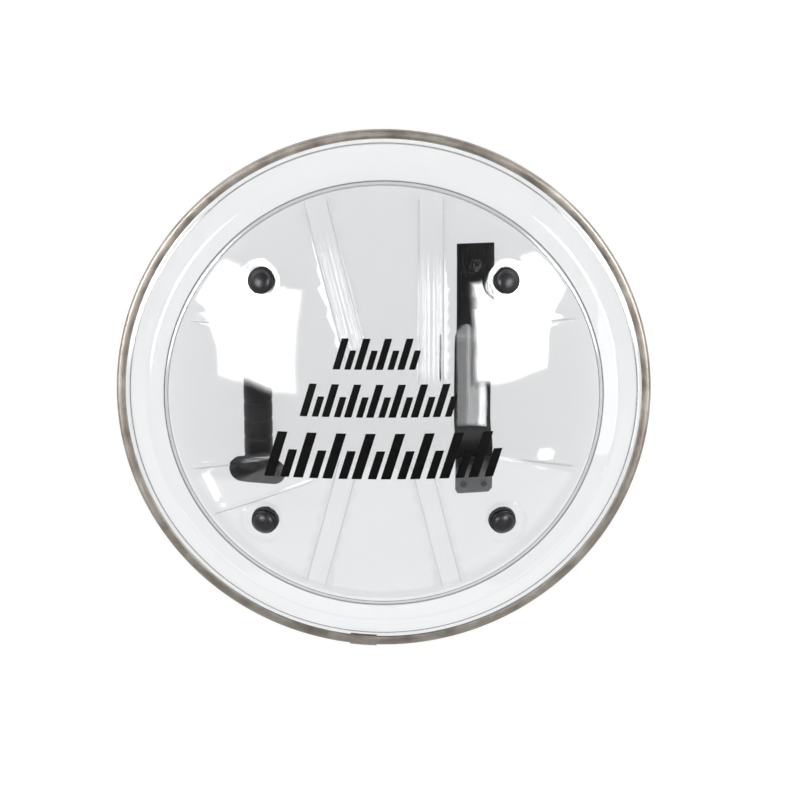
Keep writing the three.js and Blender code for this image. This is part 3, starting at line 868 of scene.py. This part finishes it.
def grip_bar():
    """The bar under the hand: shallow rings every 20 mm, and rounded ends."""
    end = FOOT_Y + LEG_WIDTH / 2
    sections = []
    for y in np.linspace(-end, end, 353):
        nearest = (y / GRIP_PITCH - 0.5 - round(y / GRIP_PITCH - 0.5)) * GRIP_PITCH
        ringed = abs(y) < 3.6 * GRIP_PITCH
        cut = float(bead(nearest, GROOVE_WIDTH, GROOVE_DEPTH)) if ringed else 0.0
        left = end - abs(y)
        if left < GRIP_END_ROUND:
            cut += GRIP_END_ROUND - math.sqrt(max(GRIP_END_ROUND ** 2 - (GRIP_END_ROUND - left) ** 2, 0.0))
        outline = rounded_outline(GRIP_WIDTH - 2 * cut, GRIP_DEPTH - 2 * cut, GRIP_CORNER - cut, 7)
        sections.append([(HANDLE_X + a, y, GRIP_DEPTH / 2 + b) for a, b in outline])
    return skin(sections)


def foot_gap():
    return 2 * FIT_GAP + flat_sag(FOOT_LENGTH / 2, back_radius())


def handle_foot(matrix):
    """The stadium-shaped foot with a rounded lower edge."""
    layers = [(inset, -foot_gap() - FOOT_THICKNESS * depth)
              for inset, depth in ((0.0, 0.0), (0.0, 0.6), (0.0005, 0.78), (0.0016, 0.93), (0.003, 1.0))]
    return plate(matrix, FOOT_LENGTH, FOOT_WIDTH, FOOT_WIDTH / 2 - 1e-5, layers, 14)


def handle_leg(side, matrix):
    """The lug from a foot to the bar, drawn in towards the bar."""
    top = -foot_gap() - FOOT_THICKNESS * 0.5
    upper = [matrix @ Vector((a, b, top))
             for a, b in rounded_outline(LEG_LENGTH, LEG_WIDTH, LEG_WIDTH * 0.45, 8)]
    lower = [Vector((HANDLE_X + a, side * FOOT_Y + b, GRIP_DEPTH / 2))
             for a, b in rounded_outline(GRIP_WIDTH - 0.004, LEG_WIDTH - 0.003, LEG_WIDTH * 0.35, 8)]
    sections = []
    for share in np.linspace(1, 0, 14):
        pull = 1 - (1 - share) ** 2.2
        sections.append([(*a.lerp(b, pull).xy, a.lerp(b, share).z) for a, b in zip(upper, lower)])
    return skin(sections)


def grip_handle():
    """Grip, lugs and feet as one moulding: the parts are fused with a fine voxel skin and eased."""
    parts = [grip_bar()]
    for side in (1, -1):
        matrix = dome_frame(back_radius(), HANDLE_X, side * FOOT_Y)
        parts += [handle_foot(matrix), handle_leg(side, matrix)]
    piece = mesh_piece("grip_handle", merged(parts), moulded_nylon_grip, ["handle"], 180.0)
    apply_modifier(piece, "REMESH", mode="VOXEL", voxel_size=FUSE_CELL, use_smooth_shade=True)
    apply_modifier(piece, "SMOOTH", factor=0.5, iterations=3)
    flatten_rest(piece)


def apply_modifier(piece, kind, **settings):
    """Adds a modifier, applies it to the mesh and removes it."""
    modifier = piece.modifiers.new(kind.lower(), kind)
    for name, value in settings.items():
        setattr(modifier, name, value)
    graph = bpy.context.evaluated_depsgraph_get()
    mesh = bpy.data.meshes.new_from_object(piece.evaluated_get(graph), depsgraph=graph)
    piece.modifiers.remove(modifier)
    old = piece.data
    piece.data = mesh
    bpy.data.meshes.remove(old)
    if not mesh.materials:
        mesh.materials.append(material(moulded_nylon_grip))


def flatten_rest(piece):
    """Keeps the grip on the ground: nothing reaches below it."""
    for vertex in piece.data.vertices:
        vertex.co.z = max(vertex.co.z, 0.0)


SCREW_SPACING = 0.044
SCREW_HEAD = 0.004
SCREW_SHANK = 0.002
SCREW_RISE = 0.002
# How deep the screws go into the feet
SCREW_BITE = 0.0045
HEAD_AROUND = 96


def slotted_head(name, matrix, head, rise, node, shank, depth, cross=True):
    """A black steel pan head with a cross recess or a plain dimple, and its shank."""
    radii = np.concatenate([np.linspace(0, head * 0.75, 22), head * np.array([0.82, 0.9, 0.96, 1.0])])
    profile = [(r, rise * (1 - 0.62 * (r / head) ** 4)) for r in radii]
    profile += [(head, FIT_GAP), (shank, FIT_GAP), (shank, -depth), (0.0, -depth)]
    verts, faces = revolve(profile, HEAD_AROUND)
    r = np.hypot(verts[:, 0], verts[:, 1])
    if cross:
        arm, reach = head * 0.16, head * 0.62
        in_cross = np.minimum(np.abs(verts[:, 0]), np.abs(verts[:, 1]))
        sink = 1 - smooth_step(in_cross, arm * 0.6, arm * 1.3)
        sink *= 1 - smooth_step(r, reach * 0.9, reach * 1.1)
    else:
        sink = 1 - smooth_step(r, head * 0.2, head * 0.34) + 0.45 * bead(r - head * 0.66, head * 0.16, 1.0)
    verts[:, 2] -= np.where(verts[:, 2] > rise * 0.3, sink * rise * 0.42, 0.0)
    mesh_piece(name, (verts, faces), black_oxide_steel, [node], 35.0, matrix)


def handle_screws():
    depth = sizes().inner_sheet + foot_gap() + SCREW_BITE
    number = 0
    for side in (1, -1):
        foot = dome_frame(inner_front_radius(), HANDLE_X, side * FOOT_Y)
        for shift in (-1, 1):
            number += 1
            matrix = foot @ Matrix.Translation((shift * SCREW_SPACING / 2, 0, 0))
            slotted_head(f"grip_screw_{number}", matrix, SCREW_HEAD, SCREW_RISE, f"handle_screw_{number}",
                         SCREW_SHANK, depth)


# The arm strap

STRAP_X = (STRAP_LOW.x + STRAP_HIGH.x) / 2
STRAP_WIDTH = 0.040
STRAP_THICKNESS = 0.003
UPPER_TAB_END = 0.095
LOOP_START = 0.042
LOOP_END = -0.022
LOWER_TAB_START = -0.060
BEND_REACH = 0.034
KEEPER_WIDTH = 0.038
KEEPER_LENGTH = 0.042
KEEPER_THICKNESS = 0.002
KEEPER_Y = -0.079
KEEPER_CORNER = 0.004
FACET_ROOM = 0.0004


def flat_sag(half, radius):
    return radius - math.sqrt(radius ** 2 - half ** 2)


def tab_radius():
    sag = flat_sag(STRAP_WIDTH / 2, back_radius())
    return back_radius() - FIT_GAP - FACET_ROOM - sag - STRAP_THICKNESS / 2


def keeper_gap():
    return FIT_GAP + FACET_ROOM + flat_sag(KEEPER_LENGTH / 2, back_radius())


def lower_tab_radius():
    return back_radius() - 2 * keeper_gap() - KEEPER_THICKNESS - STRAP_THICKNESS / 2


def bezier(points, steps):
    a, b, c, d = (np.array(p) for p in points)
    t = np.linspace(0, 1, steps + 1)[:, None]
    return a * (1 - t) ** 3 + 3 * b * t * (1 - t) ** 2 + 3 * c * t ** 2 * (1 - t) + d * t ** 3


def strap_line():
    """Middle line of the webbing as [y, z], from the top tab down to the lower one."""
    def height(radius, y):
        return float(dome_height(radius, STRAP_X, y))

    def slope(radius, y):
        return -y / math.sqrt(radius ** 2 - STRAP_X ** 2 - y ** 2)

    low = STRAP_THICKNESS / 2
    upper, lower = tab_radius(), lower_tab_radius()
    first = [(y, height(upper, y)) for y in np.linspace(STRAP_HIGH.y, UPPER_TAB_END, 20)]
    start, end = first[-1], (LOWER_TAB_START, height(lower, LOWER_TAB_START))
    down = bezier([start, (start[0] - BEND_REACH, start[1] - BEND_REACH * slope(upper, UPPER_TAB_END)),
                   (LOOP_START + BEND_REACH, low), (LOOP_START, low)], 40)
    level = [(y, low) for y in np.linspace(LOOP_START, LOOP_END, 22)]
    up = bezier([(LOOP_END, low), (LOOP_END - BEND_REACH, low),
                 (end[0] + BEND_REACH, end[1] + BEND_REACH * slope(lower, LOWER_TAB_START)), end], 40)
    last = [(y, height(lower, y)) for y in np.linspace(LOWER_TAB_START, STRAP_LOW.y + 0.0005, 12)]
    return np.vstack([first[:-1], down[:-1], level[:-1], up[:-1], last])


def lean(across, y, z):
    """How far a point of the strap drops to follow the sheet's slope where the strap is fastened."""
    top = dome_height(back_radius(), STRAP_X, y)
    share = smooth_step(z, STRAP_THICKNESS, top - 4 * STRAP_THICKNESS)
    slope = STRAP_X / np.sqrt(back_radius() ** 2 - STRAP_X ** 2 - y ** 2)
    return -across * slope * share


def arm_webbing():
    """The webbing: flat faces, thick rounded selvedges and square-cut, heat-sealed ends."""
    line = strap_line()
    lengths = np.concatenate([[0.0], np.cumsum(np.linalg.norm(np.diff(line, axis=0), axis=1))])
    tangents = np.gradient(line, axis=0)
    tangents /= np.linalg.norm(tangents, axis=1)[:, None]
    edge = STRAP_THICKNESS / 2
    half = STRAP_WIDTH / 2 - edge
    # The face between the selvedges is a little thinner than they are
    face = [(share * half, edge if abs(share) > 0.9 else edge * 0.86) for share in np.linspace(-1, 1, 25)]
    section = face + arc((half, 0.0), (edge, edge), 80, -80, 8)
    section += [(a, -t) for a, t in face[::-1]] + arc((-half, 0.0), (edge, edge), 260, 100, 8)
    across = np.array([a for a, _ in section])
    rings = []
    for (y, z), (ty, tz) in zip(line, tangents):
        drops = lean(across, y, z)
        rings.append([(STRAP_X + a, y - tz * t, max(z + ty * t + float(drop), 0.0))
                      for (a, t), drop in zip(section, drops)])
    piece = mesh_piece("arm_webbing", skin(rings), woven_nylon, ["arm_strap"], 50.0)
    values = []
    for x, y, z in mesh_places(piece):
        away = (line[:, 0] - y) ** 2 + (line[:, 1] - z + float(lean(x - STRAP_X, y, z))) ** 2
        values.append(lengths[int(np.argmin(away))])
    write_values(piece.data, "run", values)


def capsule(start, end, radius):
    """A short stitch: a round rod with round ends."""
    axis = end - start
    turn = Vector((0, 0, 1)).rotation_difference(axis.normalized())
    matrix = Matrix.Translation(start) @ turn.to_matrix().to_4x4()
    profile = arc((0.0, 0.0), (radius, radius), -90, 0, 3)
    profile += arc((0.0, axis.length), (radius, radius), 0, 90, 3)
    verts, faces = revolve(profile, 8)
    return [matrix @ Vector(v) for v in verts], faces


STITCH = 0.0034
STITCH_GAP = 0.0012
THREAD_RADIUS = 0.00035


def stitch_rows():
    """Middle lines of the sewn box at the end of the upper tab, as (across, y) pairs of points."""
    left, right = -0.0155, 0.0155
    top, foot = 0.1415, 0.1175
    corners = [(left, top), (right, top), (right, foot), (left, foot)]
    sides = list(zip(corners, corners[1:] + corners[:1]))
    return sides + [(corners[0], corners[2]), (corners[1], corners[3])]


def strap_stitching():
    """A box of stitches with a cross in it, on both faces of the upper tab."""
    stitches = []
    for side in (1, -1):
        for (a1, y1), (a2, y2) in stitch_rows():
            count = max(int(math.hypot(a2 - a1, y2 - y1) / (STITCH + STITCH_GAP)), 1)
            for i in range(count):
                ends = []
                for share in ((i + 0.12) / count, (i + 0.88) / count):
                    a, y = a1 + (a2 - a1) * share, y1 + (y2 - y1) * share
                    z = float(dome_height(tab_radius(), STRAP_X, y))
                    z += float(lean(a, y, z)) + side * STRAP_THICKNESS * 0.44
                    ends.append(Vector((STRAP_X + a, y, z)))
                stitches.append(capsule(*ends, THREAD_RADIUS))
    mesh_piece("strap_stitching", merged(stitches), twisted_thread, (), 60.0)


def strap_keeper_plate():
    """The plate over the strap's lower end, with eased edges."""
    top, foot = -keeper_gap(), -keeper_gap() - KEEPER_THICKNESS
    eases = ((0.0005, 0.0), (0.00015, 0.00015), (0.0, 0.0005))
    layers = [(inset, top - drop) for inset, drop in eases]
    layers += [(inset, foot + drop) for inset, drop in eases[::-1]]
    matrix = dome_frame(back_radius(), STRAP_X, KEEPER_Y)
    shape = plate(matrix, KEEPER_WIDTH, KEEPER_LENGTH, KEEPER_CORNER, layers, 8)
    mesh_piece("keeper_plate", shape, coated_grey_plate, ["strap_keeper"], 30.0)


RIVETS = [(0.0, 0.149, 0.007), (0.0, 0.110, 0.007), (-0.011, -0.089, 0.0035), (0.011, -0.089, 0.0035)]
RIVET_SHANK = 0.0025
RIVET_TAIL = 0.0045
RIVET_TAIL_HEIGHT = 0.0016
RIVET_RISE = 0.0018


def strap_rivets():
    """Rivets with broad dished heads in front of the inner sheet and domed tails behind the webbing."""
    upper_stack = STRAP_THICKNESS + FIT_GAP + FACET_ROOM + flat_sag(STRAP_WIDTH / 2, back_radius())
    lower_stack = STRAP_THICKNESS + 2 * keeper_gap() + KEEPER_THICKNESS
    for number, (across, y, head) in enumerate(RIVETS, 1):
        matrix = dome_frame(inner_front_radius(), STRAP_X + across, y)
        depth = sizes().inner_sheet + (upper_stack if y > 0 else lower_stack) + FIT_GAP
        slotted_head(f"rivet_{number}", matrix, head, RIVET_RISE, f"strap_rivet_{number}", RIVET_SHANK,
                     depth, cross=False)
        tail = [(0.0, -depth), (RIVET_TAIL, -depth)]
        tail += arc((0.0, -depth - 0.0003), (RIVET_TAIL, RIVET_TAIL_HEIGHT), 0, -90, 10)
        shape = revolve(tail, BOLT_AROUND)
        mesh_piece(f"rivet_tail_{number}", shape, black_oxide_steel, (), 35.0, matrix)


# The printed rows

# Each row: left and right ends, lower and upper edges in metres on the dome, and how many cells it has
PRINT_ROWS = [
    (-0.051, 0.040, 0.044, 0.077, 4),
    (-0.086, 0.079, -0.008, 0.028, 7),
    (-0.1235, 0.1275, -0.078, -0.026, 8),
]
INK_THICKNESS = 0.00018
INK_LIFT = 0.00004
SLANT = 0.3
# Start, width and height of a cell's tall and short stroke, as shares of the cell
STROKE_PAIR = ((0.08, 0.34, 1.0), (0.54, 0.3, 0.62))


def ink_stroke(left, right, foot, top):
    """A slanted bar with clipped ends, laid on the dome."""
    front = sizes().dome_radius + INK_LIFT
    rings = []
    for share in np.linspace(0, 1, 11):
        y = foot + (top - foot) * share
        line = np.linspace(left, right, 4) + SLANT * (top - foot) * (share - 0.5)
        faces = ((front + INK_THICKNESS, line), (front, line[::-1]))
        rings.append([(x, y, float(dome_height(radius, x, y))) for radius, places in faces for x in places])
    return skin(rings)


def front_print():
    """Three rows of plain slanted strokes in the place of the print, in tall and short pairs."""
    for number, (left, right, foot, top, cells) in enumerate(PRINT_ROWS, 1):
        strokes = []
        pitch = (right - left) / cells
        for cell in range(cells):
            for share, width, height in STROKE_PAIR:
                start = left + (cell + share) * pitch
                strokes.append(ink_stroke(start, start + width * pitch, foot, foot + (top - foot) * height))
        mesh_piece(f"print_row_{number}", merged(strokes), screen_print_ink, (), 30.0)


# The studio

VIEW_DISTANCE = 2.4
VIEW_TILT = math.radians(15.3)
LENS = 99.4
SENSOR = 36.0
IMAGE_SIDE = 800
# Place of the rim's middle in the photograph, in pixels
RIM_MIDDLE = (383.7, 394.8)


def view_axes():
    """Right, up and back of the camera."""
    back = Vector((0, math.sin(VIEW_TILT), math.cos(VIEW_TILT)))
    up = Vector((0, math.cos(VIEW_TILT), -math.sin(VIEW_TILT)))
    return up.cross(back), up, back


def view_place():
    return Vector((0, 0, LIP_Z)) + view_axes()[2] * VIEW_DISTANCE


def camera():
    data = bpy.data.cameras.new("camera")
    data.lens = LENS
    data.sensor_width = SENSOR
    half = IMAGE_SIDE / 2
    data.shift_x = (half - RIM_MIDDLE[0]) / IMAGE_SIDE
    data.shift_y = (RIM_MIDDLE[1] - half) / IMAGE_SIDE
    data.clip_start, data.clip_end = 0.05, 50.0
    holder = bpy.data.objects.new("camera", data)
    turn = Matrix(view_axes()).transposed().to_4x4()
    holder.matrix_world = Matrix.Translation(view_place()) @ turn
    bpy.context.scene.collection.objects.link(holder)
    bpy.context.scene.camera = holder


def mirrored_place(pixel, height):
    """Where the dome, seen at a pixel of the photograph, mirrors a level plane."""
    right, up, back = view_axes()
    focal = LENS / SENSOR * IMAGE_SIDE
    across, down = (pixel[0] - RIM_MIDDLE[0]) / focal, (pixel[1] - RIM_MIDDLE[1]) / focal
    ray = (right * across - up * down - back).normalized()
    centre = Vector((0, 0, dome_centre()))
    from_centre = view_place() - centre
    half = from_centre.dot(ray)
    reach = -half - math.sqrt(half ** 2 - from_centre.length_squared + sizes().dome_radius ** 2)
    place = view_place() + ray * reach
    normal = (place - centre).normalized()
    out = ray - 2 * ray.dot(normal) * normal
    return place + out * ((height - place.z) / out.z)


# Height of the light panels above the floor
PANEL_HEIGHT = 1.5
# Panels with less radiance than this hang a little higher, behind the bright ones
SOFT_RADIANCE = 1.5
SOFT_PANEL_HEIGHT = 1.02 * PANEL_HEIGHT
# What each panel looks like in the dish's mirror: its outline in pixels of the photograph, its radiance, and
# how far in from its outline its light rises to the full, as a share of the way to its middle, or 0 if even
PANELS = {
    "left_panel": ([
        (306, 288), (299, 334), (300, 400), (272, 398), (246, 387), (216, 379), (214, 348), (202, 306),
        (190, 296), (216, 252), (246, 263), (278, 285)
    ], 14.0, 0.22),
    "right_panel": ([
        (469, 281), (490, 280), (523, 252), (538, 247), (559, 260), (569, 284), (560, 304), (554, 317),
        (551, 333), (550, 356), (549, 371), (533, 376), (514, 383), (498, 388), (472, 388), (470, 318)
    ], 14.0, 0.16),
    "strap_panel_dim": ([(457, 333), (463, 327), (467, 325), (467, 426), (457, 426)], 1.2, 0.0),
    "strap_panel": ([(467, 325), (475, 330), (477, 383), (480, 383), (480, 426), (467, 426)], 2.4, 0.0),
    "strap_panel_bright": ([(480, 383), (487, 383), (487, 426), (480, 426)], 6.0, 0.0),
    "lower_left_panel": ([(200, 472.5), (205, 471.5), (221, 502), (216.5, 504)], 6.0, 0.2),
    "lower_right_panel": ([(541, 451), (557, 450), (554, 460), (537, 461)], 6.0, 0.2),
    "low_soft_panel": ([
        (195, 478), (236, 480.5), (271, 467), (300, 462), (340, 466), (466, 466), (500, 458.5),
        (526, 462), (573, 474), (542, 519), (502, 556), (454, 581), (384, 593), (313, 581), (265, 556),
        (226, 519)
    ], 0.55, 0.0),
}


def panel_mesh(name, outline, height, softness):
    """A level card: even, or with its light rising from its outline to a ring inside it."""
    corners = [mirrored_place(pixel, height) for pixel in outline]
    count = len(corners)
    places, faces, glow = corners, [list(range(count))], [1.0] * count
    if softness:
        middle = sum(corners, Vector()) / count
        places = corners + [corner.lerp(middle, softness) for corner in corners]
        faces = [[i, (i + 1) % count, count + (i + 1) % count, count + i] for i in range(count)]
        faces.append([count + i for i in range(count)])
        glow = [0.0] * count + glow
    mesh = bpy.data.meshes.new(name)
    mesh.from_pydata([tuple(place) for place in places], [], faces)
    write_values(mesh, "glow", glow)
    return mesh


def stage_object(name, mesh, finish):
    """A mesh that belongs to the studio and not to the shield."""
    mesh.materials.append(finish)
    thing = bpy.data.objects.new(name, mesh)
    bpy.context.scene.collection.objects.link(thing)
    return thing


def light_panels():
    """White cards that only glossy faces see, so that they give the mirror images and no patches of light."""
    for name, (outline, radiance, softness) in PANELS.items():
        height = PANEL_HEIGHT if radiance > SOFT_RADIANCE else SOFT_PANEL_HEIGHT
        finish, tree, shader, _ = new_material(name)
        glow = add_node(tree, "Attribute", attribute_name="glow").outputs["Fac"]
        eased = add_node(tree, "Math", {0: glow, 1: 2.0}, operation="POWER")
        strength = add_node(tree, "Math", {0: eased, 1: radiance}, operation="MULTIPLY")
        set_inputs(tree, shader, {
            "Base Color": (0.0, 0.0, 0.0, 1.0), "Emission Color": (1.0, 1.0, 1.0, 1.0),
            "Emission Strength": strength})
        panel = stage_object(name, panel_mesh(name, outline, height, softness), finish)
        panel.visible_camera = False
        panel.visible_diffuse = False
        panel.visible_shadow = False


def room():
    """Even light on matt faces; glossy faces mirror a dark ceiling and walls that are lit in two corners."""
    world = bpy.data.worlds.new("studio_room")
    world.use_nodes = True
    tree = world.node_tree
    tree.nodes.clear()
    tones = finishes()
    path = add_node(tree, "LightPath").outputs
    ways = add_node(tree, "TexCoord").outputs["Generated"]
    way = add_node(tree, "SeparateXYZ", {"Vector": ways}).outputs
    # The walls are lit in the two corners at the top's side, halfway between the axes
    aside = add_node(tree, "Math", {0: way["X"]}, operation="ABSOLUTE")
    corner = add_node(tree, "Math", {0: aside, 1: way["Y"]}, operation="MULTIPLY")
    side = add_node(tree, "MapRange", {
        "Value": corner, "From Min": 0.08, "From Max": 0.4, "To Min": 0.7 * tones.room_walls,
        "To Max": 3.0 * tones.room_walls})
    mirrored = add_node(tree, "MapRange", {
        "Value": way["Z"], "From Min": 0.28, "From Max": 0.42, "To Min": side, "To Max": tones.room_dark})
    lit = add_node(tree, "Math", {0: path["Diffuse Depth"], 1: 0.5}, operation="GREATER_THAN")
    strength = add_node(tree, "MapRange", {"Value": lit, "To Min": mirrored, "To Max": tones.room_light})
    seen = add_node(tree, "MapRange", {
        "Value": path["Is Camera Ray"], "To Min": strength, "To Max": tones.backdrop})
    glow = add_node(tree, "Background", {"Color": (1, 1, 1, 1), "Strength": seen})
    add_node(tree, "OutputWorld", {"Surface": glow})
    bpy.context.scene.world = world


FLOOR_HALF = 6.0


def studio_floor():
    side = FLOOR_HALF
    mesh = bpy.data.meshes.new("floor")
    corners = [(-side, -side, 0), (side, -side, 0), (side, side, 0), (-side, side, 0)]
    mesh.from_pydata(corners, [], [[0, 1, 2, 3]])
    finish, tree, shader, _ = new_material("matt_white_floor")
    tone = finishes().floor_tone
    set_inputs(tree, shader, {
        "Base Color": (tone, tone, tone, 1.0), "Roughness": 0.9, "Specular IOR Level": 0.0,
        "Emission Color": (1.0, 1.0, 1.0, 1.0), "Emission Strength": finishes().floor_glow})
    stage_object("floor", mesh, finish)


# Operators, one for each piece or group of like pieces


class ShieldOperator:
    bl_options = {"REGISTER", "UNDO"}
    makers = ()

    def execute(self, context):
        for maker in self.makers:
            maker()
        return {"FINISHED"}


class SHIELD_OT_dish(ShieldOperator, bpy.types.Operator):
    """Build the clear outer dish"""
    bl_idname = "shield.dish"
    bl_label = "Dish"
    makers = (outer_dish,)


class SHIELD_OT_inner_sheet(ShieldOperator, bpy.types.Operator):
    """Build the ribbed inner sheet"""
    bl_idname = "shield.inner_sheet"
    bl_label = "Inner Sheet"
    makers = (inner_dish,)


class SHIELD_OT_edge(ShieldOperator, bpy.types.Operator):
    """Build the steel edge strip and its sleeve"""
    bl_idname = "shield.edge"
    bl_label = "Edge Strip"
    makers = (edge_strip, joint_sleeve)


class SHIELD_OT_bolts(ShieldOperator, bpy.types.Operator):
    """Build the caps, spacers and nuts of the four bolts"""
    bl_idname = "shield.bolts"
    bl_label = "Bolts"
    makers = (bolt_caps, bolt_spacers, bolt_nuts)


class SHIELD_OT_handle(ShieldOperator, bpy.types.Operator):
    """Build the grip and its screws"""
    bl_idname = "shield.handle"
    bl_label = "Handle"
    makers = (grip_handle, handle_screws)


class SHIELD_OT_strap(ShieldOperator, bpy.types.Operator):
    """Build the arm strap, its stitching, plate and rivets"""
    bl_idname = "shield.strap"
    bl_label = "Arm Strap"
    makers = (arm_webbing, strap_stitching, strap_keeper_plate, strap_rivets)


class SHIELD_OT_print(ShieldOperator, bpy.types.Operator):
    """Lay the printed strokes on the front"""
    bl_idname = "shield.print_rows"
    bl_label = "Print"
    makers = (front_print,)


def light_paths():
    """Two clear sheets take many bends of a ray, down to the floor and up again."""
    bpy.context.scene.cycles.max_bounces = 24
    bpy.context.scene.cycles.transmission_bounces = 24


def tone_curve():
    bpy.context.scene.view_settings.view_transform = "Standard"


class SHIELD_OT_stage(ShieldOperator, bpy.types.Operator):
    """Set up the floor, the lights and the camera"""
    bl_idname = "shield.stage"
    bl_label = "Stage"
    makers = (studio_floor, light_panels, room, camera, light_paths, tone_curve)


OPERATORS = (SHIELD_OT_stage, SHIELD_OT_dish, SHIELD_OT_inner_sheet, SHIELD_OT_edge, SHIELD_OT_bolts,
             SHIELD_OT_handle, SHIELD_OT_strap, SHIELD_OT_print)


class SHIELD_PT_panel(bpy.types.Panel):
    """Lists the steps that build the shield"""
    bl_idname = "SHIELD_PT_panel"
    bl_label = "Shield"
    bl_space_type = "VIEW_3D"
    bl_region_type = "UI"
    bl_category = "Shield"

    def draw(self, context):
        for group in (context.scene.shield_sizes, context.scene.shield_finishes):
            for name in group.__annotations__:
                self.layout.prop(group, name)
        for operator in OPERATORS:
            self.layout.operator(operator.bl_idname)


CLASSES = (DishSizes, Finishes) + OPERATORS + (SHIELD_PT_panel,)


def register():
    for cls in CLASSES:
        bpy.utils.register_class(cls)
    bpy.types.Scene.shield_sizes = bpy.props.PointerProperty(type=DishSizes)
    bpy.types.Scene.shield_finishes = bpy.props.PointerProperty(type=Finishes)


def unregister():
    del bpy.types.Scene.shield_finishes
    del bpy.types.Scene.shield_sizes
    for cls in reversed(CLASSES):
        bpy.utils.unregister_class(cls)


def main():
    register()
    bpy.ops.shield.stage()
    bpy.ops.shield.dish()
    bpy.ops.shield.inner_sheet()
    bpy.ops.shield.edge()
    bpy.ops.shield.bolts()
    bpy.ops.shield.handle()
    bpy.ops.shield.strap()
    bpy.ops.shield.print_rows()


if __name__ == "__main__":
    main()
